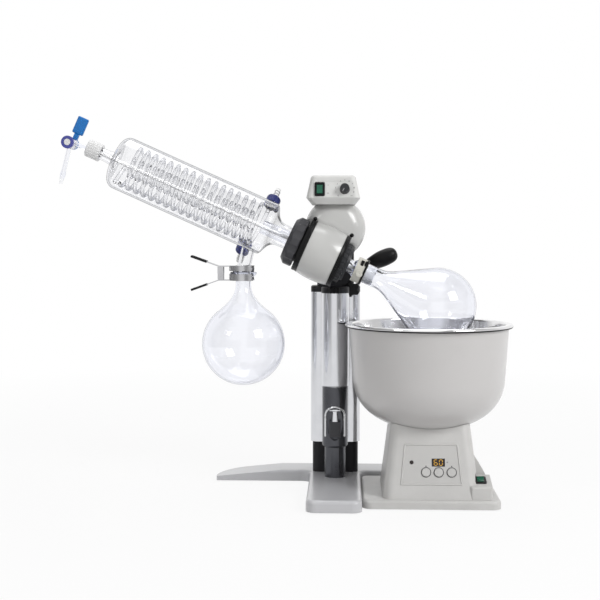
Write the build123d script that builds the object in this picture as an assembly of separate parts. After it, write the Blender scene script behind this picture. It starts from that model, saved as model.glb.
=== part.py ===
from build123d import *
import math
import os

# Rotary evaporator with hand lift, diagonal condenser and heating bath.
# Millimetres, Z up, X to the flask side, Y away from the operator.
# The origin lies on the bench under the column's centre foot.

# Clearances
SEAT = 0.3
PRESS = 0.05
RUN = 0.08

# Base casting and feet
BASE_TOP = 20.0
BASE_GAP = 2.0
BAR_HALF = 198.0
BAR_BACK_HALF = 154.0
BAR_FRONT_Y = 20.0
BAR_BACK_Y = 81.0
FOOT_HALF = 42.0
FOOT_FRONT_Y = -206.0
BASE_CORNER_R = 15.0
BASE_EDGE_R = 6.0
WING_FLAT_X = 90.0
WING_TIP_TOP = 9.0
PAD_R = 11.0
PAD_SINK = 3.0
PAD_WING_X = 165.0
PAD_WING_Y = 46.0
PAD_FRONT_X = 24.0
PAD_FRONT_Y = -180.0

# Column and sleeve
SLEEVE_HALF = 40.5
SLEEVE_FRONT_Y = 5.0
SLEEVE_BACK_Y = 50.0
SLEEVE_CORNER_R = 13.0
SLEEVE_WALL = 2.5
SLEEVE_BOTTOM = 71.0
SLEEVE_TOP = 318.0
LOBE_R = 22.5
LOBE_Y = -25.0
WEB_HALF = 11.0
COLUMN_TOP = 262.0
CORE_GAP = 0.6
CORE_WALL = 3.0
GUIDE_R = 17.0
GUIDE_BORE_R = 13.0
GROOVE_X = 5.0
GROOVE_W = 2.4
GROOVE_DEPTH = 1.5
BUSH_LENGTH = 28.0
BUSH_WALL = 2.0
SPRING_TUBE_R = 9.0
SPRING_BORE_R = 7.0
SPRING_ROD_R = 4.0
SPRING_TUBE_TOP = 225.0
SPRING_END = 10.0
PISTON_LENGTH = 12.0
PISTON_BOTTOM = 85.0

# Lift handle and release lever
HANDLE_TOP = 168.0
HANDLE_HALF = 20.5
HANDLE_FRONT_Y = -56.0
HANDLE_NOSE_R = 20.5
RECESS_HALF = 12.5
RECESS_TOP = 139.0
RECESS_BOTTOM = 83.0
RECESS_BACK_Y = -47.0
LEVER_PIN_Z = 131.0
LEVER_PIN_Y = -51.0
LEVER_PIN_R = 1.8
LEVER_HUB_R = 3.4
LEVER_STEM_HALF = 4.0
LEVER_GRIP_Z = 101.5
LEVER_GRIP_HALF = 8.5
LEVER_GRIP_R = 6.0
LEVER_GRIP_Y = -53.8

# Tilt bracket, grip and knob
PIVOT_Z = 422.0
PIVOT_R = 8.0
BRACKET_BLOCK = 10.0
EAR_HALF = 30.0
EAR_FRONT_Y = 8.6
EAR_BACK_Y = 36.0
BOLT_HEAD_R = 13.0
BOLT_HEAD = 8.0
GRIP_Y = 22.0
GRIP_Z = 352.0
GRIP_SLOPE = 23.5
GRIP_ROD_R = 5.0
GRIP_START = 27.0
GRIP_LENGTH = 50.0
GRIP_NECK_R = 9.5
GRIP_R = 13.5
KNOB_X = 27.0
KNOB_R = 13.0
KNOB_DEPTH = 9.5
KNOB_LOBES = 5
KNOB_SHANK_R = 3.0
KNOB_SHANK = 14.0

# Head axis: slopes down to the flask in the plane Y = HEAD_Y
HEAD_SLOPE = 24.3
HEAD_Y = -70.0
AXIS_Z = 372.7

# Drive head, stations along the head axis are measured from X = 0
DRUM_LEFT = -53.0
DRUM_RIGHT = 7.0
DRUM_END_R = 41.5
DRUM_BULGE_R = 45.5
HOOD_R = 48.0
HOOD_FRONT_Y = -68.0
HOOD_SPLIT_Y = -2.0
HOOD_BACK_Y = 8.0
HOOD_EDGE_R = 28.0
HOOD_WALL = 5.0
HOOD_CAVITY_Y = -37.0
COVER_EDGE_R = 6.0
COVER_SPIGOT = 3.0
BEARING_R = 30.0
BEARING_WIDTH = 10.0
HUB_R = 20.0
HUB_LEFT = -50.0
HUB_RIGHT = 20.0
WALL_RIGHT = 3.0
PULLEY_R = 26.0
PULLEY_LEFT = -36.0
PULLEY_RIGHT = -18.0
BELT_THICK = 2.0
MOTOR_UP = 45.0
MOTOR_BACK = 50.0
MOTOR_R = 15.0
MOTOR_LEFT = -13.0
MOTOR_RIGHT = 14.0
MOTOR_PULLEY_R = 9.0
MOTOR_SHAFT_R = 3.0
MOTOR_SHAFT_DEPTH = 12.0
FLANGE_LEFT = -57.0
FLANGE_R = 42.5
BOSS_LEFT = -66.0
BOSS_R = 30.0
BOSS_BORE_R = 27.0
SEAL_R = 24.0
WHEEL_LEFT = -80.0
WHEEL_RIGHT = -60.0
WHEEL_R = 39.5
WHEEL_FACE_R = 32.0
WHEEL_LOBES = 10
WHEEL_SCALLOP_R = 16.0
WHEEL_SCALLOP_DEPTH = 2.2
NUT_LEFT = 7.6
NUT_RIGHT = 22.5
NUT_R = 32.0
NUT_WALL = 4.0
NUT_RIBS = 24
RING_GAP = 1.5
NUT_RIB_R = 2.0

# Control box
BOX_X = -3.0
BOX_DROP = 1.0
BOX_LIP = 10.0
BOX_HEIGHT = 35.0
BOX_TOP_EDGE_R = 6.0
BOX_LIP_W = 68.0
BOX_WIDE_W = 84.0
BOX_TOP_W = 69.0
BOX_FRONT_Y = -86.0
BOX_BACK_Y = 6.0
BOX_LEAN = 12.0
BOX_CORNER_R = 9.0
BOX_PANEL_T = 1.6
BOX_PANEL_W = 62.0
BOX_PANEL_H = 25.0
CONTROL_RISE = 13.0
ROCKER_X = -24.0
DIAL_X = 15.0
FRAME_W = 16.0
FRAME_H = 22.0
FRAME_RIM = 3.2
FRAME_PROUD = 1.8
FRAME_DEPTH = 13.0
ROCKER_REACH = 8.0
ROCKER_TILT = 7.0
DIAL_R = 8.0
DIAL_HEIGHT = 11.0
DIAL_SHAFT_R = 3.0
DIAL_SHAFT = 8.0

# Glass on the head axis
GLASS = 2.4
JACKET_LEFT = -380.0
JACKET_RIGHT = -118.0
JACKET_R = 42.7
JACKET_CORNER_R = 14.0
NECK_R = 18.0
NECK_START = -92.0
NECK_FLANGE_R = 26.0
NECK_FLANGE_LEFT = -66.6
NECK_FLANGE_RIGHT = -58.4
CAP_LEFT = -428.0
CAP_RIGHT = -405.0
CAP_R = 13.8
CAP_WALL = 5.0
CAP_RIBS = 20
CAP_NECK_R = 9.5
CAP_NECK_FLARE_R = 16.0
FEED_R = 3.0
FEED_BORE_R = 1.8
FEED_RIGHT = 40.0
FEED_END_GAP = 0.8
VAPOUR_R = 11.0
VAPOUR_LEFT = -126.0
VAPOUR_COLLAR_R = 13.8
VAPOUR_COLLAR_LEFT = 33.0
VAPOUR_COLLAR_RIGHT = 38.0
JOINT_LEFT = 45.0
JOINT_RIGHT = 67.0
JOINT_BIG_R = 14.6
JOINT_SMALL_R = 13.4
SOCKET_BIG_R = 17.8
SOCKET_SMALL_R = 16.0
SOCKET_RIM = 4.0
PEAR_CENTRE = 177.0
PEAR_R = 60.0
PEAR_HALF_ANGLE = 29.5
PEAR_NECK_R = 15.6
PEAR_NECK_END = 72.0
CLIP_R = 20.0
CLIP_LIP = 2.0
CLIP_OPENING = 12.0

# Cooling coil
COIL_R = 33.0
COIL_TUBE_R = 3.2
COIL_INNER_R = 14.0
COIL_LEFT = -356.0
COIL_PITCH = 13.0
COIL_INNER_PITCH = 12.0
BEAD = 0.7
PORT_UPPER = -129.0
PORT_LOWER = -141.0
PORT_UPPER_TURN = -38.0
PORT_LOWER_TURN = 213.0
PORT_R = 7.0
PORT_BORE_R = 3.8
PORT_END = 56.0
HOSE_CAP_R = 11.5
HOSE_CAP_START = 47.0
HOSE_CAP_END = 61.0
HOSE_TAIL_R = 3.6
HOSE_TAIL_BARB_R = 4.8
HOSE_TAIL = 20.0

# Ball joint, receiving flask and fork clamp
BALL_X = -144.5
BALL_Z = 358.0
BALL_R = 17.5
BALL_BOTTOM = 345.0
BALL_SHOULDER = 3.0
BALL_TUBE_R = 10.5
BALL_TUBE_LEAN = 13.7
CUP_R = 20.8
CUP_TOP = 353.0
CUP_BOTTOM = 345.0
FLASK_Z = 239.6
FLASK_R = 65.5
FLASK_NECK_R = 12.0
FLASK_NECK_BOTTOM = 333.0
FLASK_FLARE_Z = 292.0
CLAMP_PIN_X = -180.0
CLAMP_PIN_Z = 351.0
CLAMP_PIN_R = 2.0
CLAMP_SHEET = 1.6
CLAMP_LOWER_Z = 341.0
CLAMP_TIP_X = -124.0
CLAMP_HANDLE_X = -226.0
CLAMP_HANDLE_RISE = 28.0
CLAMP_FORK_HALF = 21.0
CLAMP_ARM_HALF = 8.0
CLAMP_LUG_R = 4.6
CLAMP_LUG_IN = 5.2

# Stopcock at the condenser's upper end
COCK_X = -417.7
COCK_Z = 555.9
BARREL_R = 9.0
BARREL_BORE_R = 6.0
BARREL_HALF = 15.0
ARM_R = 3.2
TAIL_R = 3.4
TAIL_END_R = 2.7
TAIL_LENGTH = 66.0
TAIL_LEAN = 14.0
OLIVE_R = 4.4
COCK_NUT_R = 10.0
COCK_NUT = 5.0
PLUG_FACE_R = 5.0
PADDLE_LEAN = 24.0
PADDLE_W = 18.0
PADDLE_H = 28.0
PADDLE_T = 7.0
PADDLE_START = 17.0
PADDLE_NECK_W = 8.0

# Heating bath
BATH_X = 146.0
BATH_Y = -85.0
RIM_Z = 274.0
RIM_R = 130.0
RIM_BEAD = 3.0
LINER_T = 1.2
LINER_TOP_R = 120.0
LINER_LOW_R = 114.0
LINER_LOW_Z = 186.0
LINER_FLOOR_Z = 141.0
BOWL_T = 2.0
BOWL_TOP_R = 123.5
BOWL_LOW_R = 118.0
BOWL_LOW_Z = 186.0
BOWL_BASE_R = 55.0
BOWL_BASE_Z = 116.0
BOWL_FLOOR_Z = 110.0
HEATER_R = 70.0
HEATER_TUBE_R = 4.0
PROBE_R = 3.5
SLAB_RIGHT = 250.0
SLAB_FRONT_Y = -178.0
SLAB_BACK_Y = 8.0
SLAB_BOTTOM = 2.0
SLAB_TOP = 15.0
SLAB_CORNER_R = 14.0
PEDESTAL_LOW_W = 146.0
PEDESTAL_TOP_W = 118.0
PEDESTAL_FRONT_Y = -170.0
PEDESTAL_LEAN = 13.0
PEDESTAL_BACK_Y = -12.0
PEDESTAL_R = 16.0
PEDESTAL_TOP_Z = 136.0
PEDESTAL_WALL = 5.0
PEDESTAL_ROOM_TOP = 100.0
FLANK_TOP = 92.0
FLANK_BACK_Y = -20.0
SWITCH_LEFT = 205.0
SWITCH_RIGHT = 237.0
SWITCH_TOP_FRONT = 34.0
SWITCH_TOP_BACK = 46.0
SWITCH_DEPTH = 46.0
PANEL_T = 2.0
PANEL_LOW_Z = 37.0
PANEL_TOP_Z = 95.0
PANEL_LOW_W = 90.0
PANEL_TOP_W = 78.0
DISPLAY_W = 20.0
DISPLAY_H = 12.0
DISPLAY_X = 156.5
DISPLAY_Z = 69.0
BUTTON_X = (138.0, 157.0, 176.5)
BUTTON_Z = 54.7
BUTTON_R = 6.4
BUTTON_PROUD = 2.2
BUTTON_STEM_R = 4.0
BUTTON_STEM = 6.0
BUTTON_TRAVEL_ROOM = 1.6
LAMP_X = 116.5
LAMP_R = 3.0
BATH_PAD_INSET = 26.0
BATH_FRAME_W = 17.0
BATH_FRAME_H = 22.0

# Places and values that follow from the sizes above
SPRING_Y = (SLEEVE_FRONT_Y + SLEEVE_BACK_Y) / 2
KNOB_Z = SLEEVE_TOP + BRACKET_BLOCK / 2
CLAMP_UPPER_Z = BALL_Z + BALL_SHOULDER + SEAT
SLAB_LEFT = FOOT_HALF + SEAT
PORTS = ((PORT_UPPER, PORT_UPPER_TURN), (PORT_LOWER, PORT_LOWER_TURN))
HEAD_COS = math.cos(math.radians(HEAD_SLOPE))
HEAD_SIN = math.sin(math.radians(HEAD_SLOPE))
HEAD = Plane(origin=(0, HEAD_Y, AXIS_Z), x_dir=(HEAD_SIN, 0, HEAD_COS), z_dir=(HEAD_COS, 0, -HEAD_SIN))
BOX_WIDE_Z = PIVOT_Z + HOOD_R - BOX_DROP
BOX_LIP_Z = BOX_WIDE_Z - BOX_LIP
BOX_TOP_Z = BOX_WIDE_Z + BOX_HEIGHT
CONTROL_Z = BOX_WIDE_Z + CONTROL_RISE
BOX_TAN = math.tan(math.radians(BOX_LEAN))
BOX_RISE = BOX_HEIGHT * BOX_TAN
PANEL_BOX = Plane(
    origin=(BOX_X, BOX_FRONT_Y + CONTROL_RISE * BOX_TAN, CONTROL_Z),
    x_dir=(1, 0, 0),
    z_dir=(0, -1, BOX_TAN),
)
BATH = Pos(BATH_X, BATH_Y, 0)
PEDESTAL_TAN = math.tan(math.radians(PEDESTAL_LEAN))
PANEL_MID_Z = (PANEL_LOW_Z + PANEL_TOP_Z) / 2
SWITCH_X = (SWITCH_LEFT + SWITCH_RIGHT) / 2
SWITCH_Y = PEDESTAL_FRONT_Y + SWITCH_DEPTH / 2
SWITCH_Z = (SWITCH_TOP_FRONT + SWITCH_TOP_BACK) / 2
SWITCH_PLACE = Plane(
    origin=(SWITCH_X, SWITCH_Y, SWITCH_Z),
    x_dir=(1, 0, 0),
    z_dir=(0, SWITCH_TOP_FRONT - SWITCH_TOP_BACK, SWITCH_DEPTH),
)
UP = (Align.CENTER, Align.CENTER, Align.MIN)


def turned(edges):
    """Solid of revolution about Z from a closed outline of (radius, height) edges."""
    return revolve(Plane.XZ * make_face(edges), Axis.Z)


def turned_line(*points):
    """Solid of revolution about Z from a closed outline of straight sides."""
    return turned(Polyline(*points, close=True).edges())


def disc(radius, start, end):
    """Cylinder about Z between two heights."""
    return Pos(0, 0, start) * extrude(Circle(radius), end - start)


def ring(radius, bore, start, end):
    """Tube about Z between two heights."""
    return Pos(0, 0, start) * extrude(Circle(radius) - Circle(bore), end - start)


def along_y(x, z, y):
    """Plane whose normal runs away from the operator along Y."""
    return Plane(origin=(x, y, z), x_dir=(1, 0, 0), z_dir=(0, 1, 0))


def block(x0, x1, y0, y1, z0, z1):
    """Box between two corners."""
    return Pos((x0 + x1) / 2, (y0 + y1) / 2, (z0 + z1) / 2) * Box(x1 - x0, y1 - y0, z1 - z0)


def save(shape, name):
    """Writes one named piece."""
    export_step(shape, f"parts/{name}.step")


# Base


def wing_end(side):
    """Curved outer end of one wing, from its front corner to its back corner."""
    mid = (side * (BAR_HALF - 9), (BAR_FRONT_Y + BAR_BACK_Y) / 2 + 9)
    return ThreePointArc((side * BAR_HALF, BAR_FRONT_Y), mid, (side * BAR_BACK_HALF, BAR_BACK_Y))


def base_pads():
    """Places of the rubber feet under the base."""
    places = [(0, 0)]
    for side in (-1, 1):
        places.append((side * PAD_WING_X, PAD_WING_Y))
        places.append((side * PAD_FRONT_X, PAD_FRONT_Y))
    return places


def base_casting():
    """T-shaped casting with wings that thin out to their tips."""
    outline = make_face(
        [
            Polyline((-BAR_HALF, BAR_FRONT_Y), (-FOOT_HALF, BAR_FRONT_Y), (-FOOT_HALF, FOOT_FRONT_Y)),
            Line((-FOOT_HALF, FOOT_FRONT_Y), (FOOT_HALF, FOOT_FRONT_Y)),
            Polyline((FOOT_HALF, FOOT_FRONT_Y), (FOOT_HALF, BAR_FRONT_Y), (BAR_HALF, BAR_FRONT_Y)),
            wing_end(1),
            Line((BAR_BACK_HALF, BAR_BACK_Y), (-BAR_BACK_HALF, BAR_BACK_Y)),
            wing_end(-1),
        ]
    )
    corners = outline.vertices().filter_by(lambda v: abs(v.X) < FOOT_HALF + 1)
    outline = fillet(corners, BASE_CORNER_R)
    body = Pos(0, 0, BASE_GAP) * extrude(outline, BASE_TOP - BASE_GAP)
    for side in (-1, 1):
        wedge = make_face(
            Polyline(
                (side * WING_FLAT_X, BASE_TOP),
                (side * (BAR_HALF + 1), WING_TIP_TOP),
                (side * (BAR_HALF + 1), BASE_TOP + 5),
                (side * WING_FLAT_X, BASE_TOP + 5),
                close=True,
            ).edges()
        )
        body -= extrude(Plane.XZ * wedge, BAR_BACK_Y + 5, both=True)
    front = body.edges().group_by(Axis.Z)[-1].filter_by(lambda e: e.center().Y < BAR_FRONT_Y + 5)
    body = fillet(front, BASE_EDGE_R)
    for x, y in base_pads():
        body -= Pos(x, y, 0) * disc(PAD_R + SEAT, 0, BASE_GAP + PAD_SINK)
    return body


def base_feet():
    """Rubber feet sunk into pockets of the casting."""
    return Compound([Pos(x, y, 0) * disc(PAD_R, 0, BASE_GAP + PAD_SINK) for x, y in base_pads()])


# Column and lift


def sleeve_face(inset, lobe=True):
    """Sleeve outline, drawn in by a wall: back body, web and round front lobe."""
    depth = SLEEVE_BACK_Y - SLEEVE_FRONT_Y
    middle = (SLEEVE_BACK_Y + SLEEVE_FRONT_Y) / 2
    face = Pos(0, middle) * RectangleRounded(
        2 * (SLEEVE_HALF - inset), depth - 2 * inset, SLEEVE_CORNER_R - inset
    )
    if lobe:
        web = SLEEVE_FRONT_Y + SLEEVE_WALL + 1 - LOBE_Y
        face += Pos(0, LOBE_Y + web / 2) * Rectangle(2 * (WEB_HALF - inset), web)
        face += Pos(0, LOBE_Y) * Circle(LOBE_R - inset)
    return face


def lift_sleeve():
    """Aluminium extrusion, its front lobe cut away where the handle housing sits."""
    upper = extrude(sleeve_face(0) - sleeve_face(SLEEVE_WALL), SLEEVE_TOP - HANDLE_TOP)
    lower = extrude(
        sleeve_face(0, lobe=False) - sleeve_face(SLEEVE_WALL, lobe=False),
        HANDLE_TOP - SLEEVE_BOTTOM,
    )
    return Pos(0, 0, HANDLE_TOP) * upper + Pos(0, 0, SLEEVE_BOTTOM) * lower


def column_core():
    """Fixed black column body, hollow for the gas spring."""
    outer = sleeve_face(SLEEVE_WALL + CORE_GAP, lobe=False)
    inner = sleeve_face(SLEEVE_WALL + CORE_GAP + CORE_WALL, lobe=False)
    return Pos(0, 0, BASE_TOP) * extrude(outer - inner, COLUMN_TOP - BASE_TOP)


def guide_tube():
    """Fixed front tube with two grooves on its face."""
    face = Circle(GUIDE_R) - Circle(GUIDE_BORE_R)
    groove_y = -math.sqrt(GUIDE_R**2 - GROOVE_X**2)
    for side in (-1, 1):
        face -= Pos(side * GROOVE_X, groove_y) * Rectangle(GROOVE_W, 2 * GROOVE_DEPTH)
    return Pos(0, LOBE_Y, BASE_TOP) * extrude(face, COLUMN_TOP - BASE_TOP)


def gas_spring_tube():
    """Pressure tube with a closed foot and a rod guide at its top."""
    tube = ring(SPRING_TUBE_R, SPRING_BORE_R, BASE_TOP + SPRING_END, SPRING_TUBE_TOP - SPRING_END)
    tube += disc(SPRING_TUBE_R, BASE_TOP, BASE_TOP + SPRING_END)
    tube += ring(SPRING_TUBE_R, SPRING_ROD_R + RUN, SPRING_TUBE_TOP - SPRING_END, SPRING_TUBE_TOP)
    return Pos(0, SPRING_Y, 0) * tube


def gas_spring_rod():
    """Piston and rod, its top end against the bracket."""
    rod = disc(SPRING_ROD_R, PISTON_BOTTOM, SLEEVE_TOP)
    rod += disc(SPRING_BORE_R - RUN, PISTON_BOTTOM, PISTON_BOTTOM + PISTON_LENGTH)
    return Pos(0, SPRING_Y, 0) * rod


def handle_face():
    """Plan outline of the handle housing: straight sides and a round nose."""
    nose_y = HANDLE_FRONT_Y + HANDLE_NOSE_R
    depth = SLEEVE_FRONT_Y - nose_y
    face = Pos(0, nose_y + depth / 2) * Rectangle(2 * HANDLE_HALF, depth)
    return face + Pos(0, nose_y) * Circle(HANDLE_NOSE_R)


def handle_housing():
    """Lift handle housing with an oval finger recess and a bore for the guide tube."""
    body = Pos(0, 0, SLEEVE_BOTTOM) * extrude(handle_face(), HANDLE_TOP - SLEEVE_BOTTOM)
    body = fillet(body.edges().group_by(Axis.Z)[0].filter_by(GeomType.CIRCLE), 4)
    bush_end = SLEEVE_BOTTOM + BUSH_LENGTH
    body -= Pos(0, LOBE_Y) * disc(GUIDE_R + BUSH_WALL, 0, bush_end)
    body -= Pos(0, LOBE_Y) * disc(GUIDE_R + SEAT, bush_end - 1, HANDLE_TOP + 1)
    recess_z = (RECESS_TOP + RECESS_BOTTOM) / 2
    recess = Ellipse(RECESS_HALF, (RECESS_TOP - RECESS_BOTTOM) / 2)
    place = Plane(origin=(0, RECESS_BACK_Y, recess_z), x_dir=(1, 0, 0), z_dir=(0, -1, 0))
    body -= place * extrude(recess, 20)
    body -= lever_pin_hole()
    return body


def lever_pin_hole():
    """Cross hole for the lever's pin."""
    hole = Cylinder(LEVER_PIN_R + RUN, 2 * RECESS_HALF + 6)
    return Pos(0, LEVER_PIN_Y, LEVER_PIN_Z) * Rot(0, 90, 0) * hole


def glide_bush():
    """Plastic bush in the handle housing that runs on the guide tube."""
    top = SLEEVE_BOTTOM + BUSH_LENGTH - SEAT
    return Pos(0, LOBE_Y) * ring(GUIDE_R + BUSH_WALL - PRESS, GUIDE_R + RUN, SLEEVE_BOTTOM, top)


def release_lever():
    """Lever with a bulbous finger grip, hanging from its cross pin."""
    pin = Pos(0, LEVER_PIN_Y, LEVER_PIN_Z) * Rot(0, 90, 0) * Cylinder(LEVER_PIN_R, 2 * RECESS_HALF + 4)
    hub = Pos(0, LEVER_PIN_Y, LEVER_PIN_Z) * Rot(0, 90, 0) * Cylinder(LEVER_HUB_R, 2 * LEVER_STEM_HALF)
    stem_low = Plane(origin=(0, LEVER_GRIP_Y, LEVER_GRIP_Z)) * RectangleRounded(12, 9, 3)
    stem_top = Plane(origin=(0, LEVER_PIN_Y, LEVER_PIN_Z)) * RectangleRounded(2 * LEVER_STEM_HALF, 5, 2)
    stem = loft([stem_low, stem_top])
    grip = Pos(0, LEVER_GRIP_Y, LEVER_GRIP_Z) * Box(2 * LEVER_GRIP_HALF, 2 * LEVER_GRIP_R, 24)
    grip = fillet(grip.edges(), LEVER_GRIP_R - 0.6)
    return pin + hub + stem + grip


def tilt_bracket():
    """Black casting on the sleeve's top with an upright ear for the tilt pivot."""
    top = SLEEVE_TOP + BRACKET_BLOCK
    body = Pos(0, 0, SLEEVE_TOP) * extrude(sleeve_face(0), BRACKET_BLOCK)
    body = chamfer(body.edges().group_by(Axis.Z)[-1], 1.5)
    ear = Pos(0, (top + PIVOT_Z) / 2) * Rectangle(2 * EAR_HALF, PIVOT_Z - top)
    ear += Pos(0, PIVOT_Z) * Circle(EAR_HALF)
    ear = Plane.XZ.offset(-EAR_BACK_Y) * extrude(ear, EAR_BACK_Y - EAR_FRONT_Y)
    body += ear
    body -= along_y(0, PIVOT_Z, 0) * disc(PIVOT_R, 0, EAR_BACK_Y + 1)
    body -= along_y(KNOB_X, KNOB_Z, SLEEVE_FRONT_Y - 1) * disc(KNOB_SHANK_R + RUN, 0, KNOB_SHANK + 2)
    return body


def pivot_bolt():
    """Bolt through the bracket that carries the tilting head."""
    length = EAR_BACK_Y - HOOD_SPLIT_Y - SEAT
    bolt = disc(PIVOT_R - PRESS, HOOD_SPLIT_Y + SEAT, HOOD_SPLIT_Y + SEAT + length)
    bolt += Pos(0, 0, EAR_BACK_Y) * extrude(RegularPolygon(BOLT_HEAD_R, 6), BOLT_HEAD)
    return along_y(0, PIVOT_Z, 0) * bolt


def side_grip():
    """Bulb grip on a rod that leaves the bracket's right side."""
    shape = turned(
        [
            Polyline((0, -4), (GRIP_ROD_R, -4), (GRIP_ROD_R, GRIP_START), (GRIP_NECK_R, GRIP_START)),
            Spline(
                (GRIP_NECK_R, GRIP_START),
                (GRIP_R, GRIP_START + GRIP_LENGTH * 0.66),
                (0, GRIP_START + GRIP_LENGTH),
                tangents=((0.25, 1), (-1, 0)),
            ),
            Line((0, GRIP_START + GRIP_LENGTH), (0, -4)),
        ]
    )
    slope = math.radians(GRIP_SLOPE)
    place = Plane(origin=(EAR_HALF, GRIP_Y, GRIP_Z), z_dir=(math.cos(slope), 0, math.sin(slope)))
    return place * shape - block(-EAR_HALF, EAR_HALF, 0, 60, GRIP_Z - 20, GRIP_Z + 20)


def tilt_knob():
    """Star knob on the bracket's front."""
    face = Circle(KNOB_R)
    for i in range(KNOB_LOBES):
        face -= Rot(0, 0, i * 360 / KNOB_LOBES) * Pos(KNOB_R + 2, 0) * Circle(5.5)
    knob = extrude(face, -KNOB_DEPTH)
    knob = fillet(knob.edges().group_by(Axis.Z)[0], 1.5)
    knob += disc(KNOB_SHANK_R, 0, KNOB_SHANK)
    return along_y(KNOB_X, KNOB_Z, SLEEVE_FRONT_Y - SEAT) * knob


# Drive head


def drum_solid():
    """Barrel round the head axis."""
    outline = [
        Polyline((0, DRUM_RIGHT), (0, DRUM_LEFT), (DRUM_END_R, DRUM_LEFT)),
        ThreePointArc(
            (DRUM_END_R, DRUM_LEFT),
            (DRUM_BULGE_R, (DRUM_LEFT + DRUM_RIGHT) / 2),
            (DRUM_END_R, DRUM_RIGHT),
        ),
        Line((DRUM_END_R, DRUM_RIGHT), (0, DRUM_RIGHT)),
    ]
    return HEAD * turned(outline)


def hood_solid(grow, back):
    """Round hood behind the drum, grown all round, up to one depth at its back."""
    front = HOOD_FRONT_Y - grow
    hood = along_y(0, PIVOT_Z, front) * extrude(Circle(HOOD_R + grow), back - front)
    return fillet(hood.edges().group_by(Axis.Y)[0], HOOD_EDGE_R + grow)


def belt_face(margin):
    """Loop round both pulleys, at a margin from their rims."""
    hub = Circle(PULLEY_R + margin)
    motor = Pos(MOTOR_UP, -MOTOR_BACK) * Circle(MOTOR_PULLEY_R + margin)
    return make_hull(hub.edges() + motor.edges())


def head_housing():
    """Housing with bearing bore, motor space, belt slot and room for the rings at both ends."""
    body = drum_solid() + hood_solid(0, HOOD_SPLIT_Y)
    body -= HEAD * disc(BEARING_R, DRUM_LEFT - 1, WALL_RIGHT)
    body -= HEAD * disc(HUB_R + 1, WALL_RIGHT - 1, DRUM_RIGHT + 1)
    cavity = HOOD_SPLIT_Y + 1 - HOOD_CAVITY_Y
    body -= along_y(0, PIVOT_Z, HOOD_CAVITY_Y) * extrude(Circle(HOOD_R - HOOD_WALL), cavity)
    slot = extrude(belt_face(BELT_THICK + 1.5), PULLEY_RIGHT - PULLEY_LEFT)
    body -= HEAD * Pos(0, 0, PULLEY_LEFT) * slot
    body -= HEAD * disc(FLANGE_R + RING_GAP, 2 * WHEEL_LEFT, DRUM_LEFT)
    return body - HEAD * disc(NUT_R + RING_GAP, DRUM_RIGHT, 3 * NUT_RIGHT)


def motor_place(start):
    """Place on the motor's axis at one station."""
    return HEAD * Pos(MOTOR_UP, -MOTOR_BACK, start)


def rear_cover():
    """Cover with the pivot bore and a saddle for the motor."""
    cover = along_y(0, PIVOT_Z, HOOD_SPLIT_Y) * extrude(Circle(HOOD_R), HOOD_BACK_Y - HOOD_SPLIT_Y)
    cover = fillet(cover.edges().group_by(Axis.Y)[-1], COVER_EDGE_R)
    spigot_r = HOOD_R - HOOD_WALL - SEAT
    cover += along_y(0, PIVOT_Z, HOOD_SPLIT_Y) * ring(spigot_r, spigot_r - 4, -COVER_SPIGOT, 0)
    reach = MOTOR_BACK + HEAD_Y
    saddle_y = (HOOD_SPLIT_Y - reach) / 2
    saddle = Pos(0, 0, (MOTOR_LEFT + MOTOR_RIGHT) / 2) * Box(16, saddle_y * 2, 16)
    cover += motor_place(0) * Pos(0, -saddle_y, 0) * saddle
    cover -= motor_place(MOTOR_LEFT - 1) * disc(MOTOR_R + PRESS, 0, MOTOR_RIGHT - MOTOR_LEFT + 2)
    pivot = disc(PIVOT_R - PRESS + RUN, 0, HOOD_BACK_Y - HOOD_SPLIT_Y + 2)
    return cover - along_y(0, PIVOT_Z, HOOD_SPLIT_Y - 1) * pivot


def drive_motor():
    """Motor can with a bore for its shaft."""
    motor = disc(MOTOR_R, 0, MOTOR_RIGHT - MOTOR_LEFT)
    motor -= disc(MOTOR_SHAFT_R + RUN, -1, MOTOR_SHAFT_DEPTH + 1)
    return motor_place(MOTOR_LEFT) * motor


def motor_pulley():
    """Small belt pulley with its shaft."""
    width = PULLEY_RIGHT - PULLEY_LEFT
    pulley = disc(MOTOR_PULLEY_R, 2, width - 2)
    pulley += disc(MOTOR_SHAFT_R, width - 2, MOTOR_LEFT - PULLEY_LEFT + MOTOR_SHAFT_DEPTH)
    return motor_place(PULLEY_LEFT) * pulley


def drive_belt():
    """Belt round both pulleys."""
    loop = belt_face(SEAT + BELT_THICK) - belt_face(SEAT)
    width = PULLEY_RIGHT - PULLEY_LEFT - 6
    return HEAD * Pos(0, 0, PULLEY_LEFT + 3) * extrude(loop, width)


def hub_bearings():
    """Two ball bearings in the bore, kept apart by the hub's pulley."""
    left = ring(BEARING_R - PRESS, HUB_R + PRESS, DRUM_LEFT + SEAT, DRUM_LEFT + SEAT + BEARING_WIDTH)
    right = ring(BEARING_R - PRESS, HUB_R + PRESS, WALL_RIGHT - BEARING_WIDTH, WALL_RIGHT)
    return Compound([HEAD * left, HEAD * right])


def drive_hub():
    """Hollow shaft with the large belt pulley."""
    hub = disc(HUB_R, HUB_LEFT, HUB_RIGHT)
    hub += disc(PULLEY_R, PULLEY_LEFT + 2, PULLEY_RIGHT - 2)
    return HEAD * (hub - disc(VAPOUR_R + PRESS, HUB_LEFT - 1, HUB_RIGHT + 1))


def flange_ring():
    """Dark ring that closes the bore and carries the handwheel."""
    flange = ring(FLANGE_R, SEAL_R + PRESS, FLANGE_LEFT, DRUM_LEFT)
    return HEAD * (flange + ring(BOSS_R, BOSS_BORE_R, BOSS_LEFT, FLANGE_LEFT))


def vacuum_seal():
    """Sealing ring between the condenser's flange and the turning vapour tube."""
    return HEAD * ring(SEAL_R, VAPOUR_R + RUN, NECK_FLANGE_RIGHT + SEAT, DRUM_LEFT - PRESS)


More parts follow.
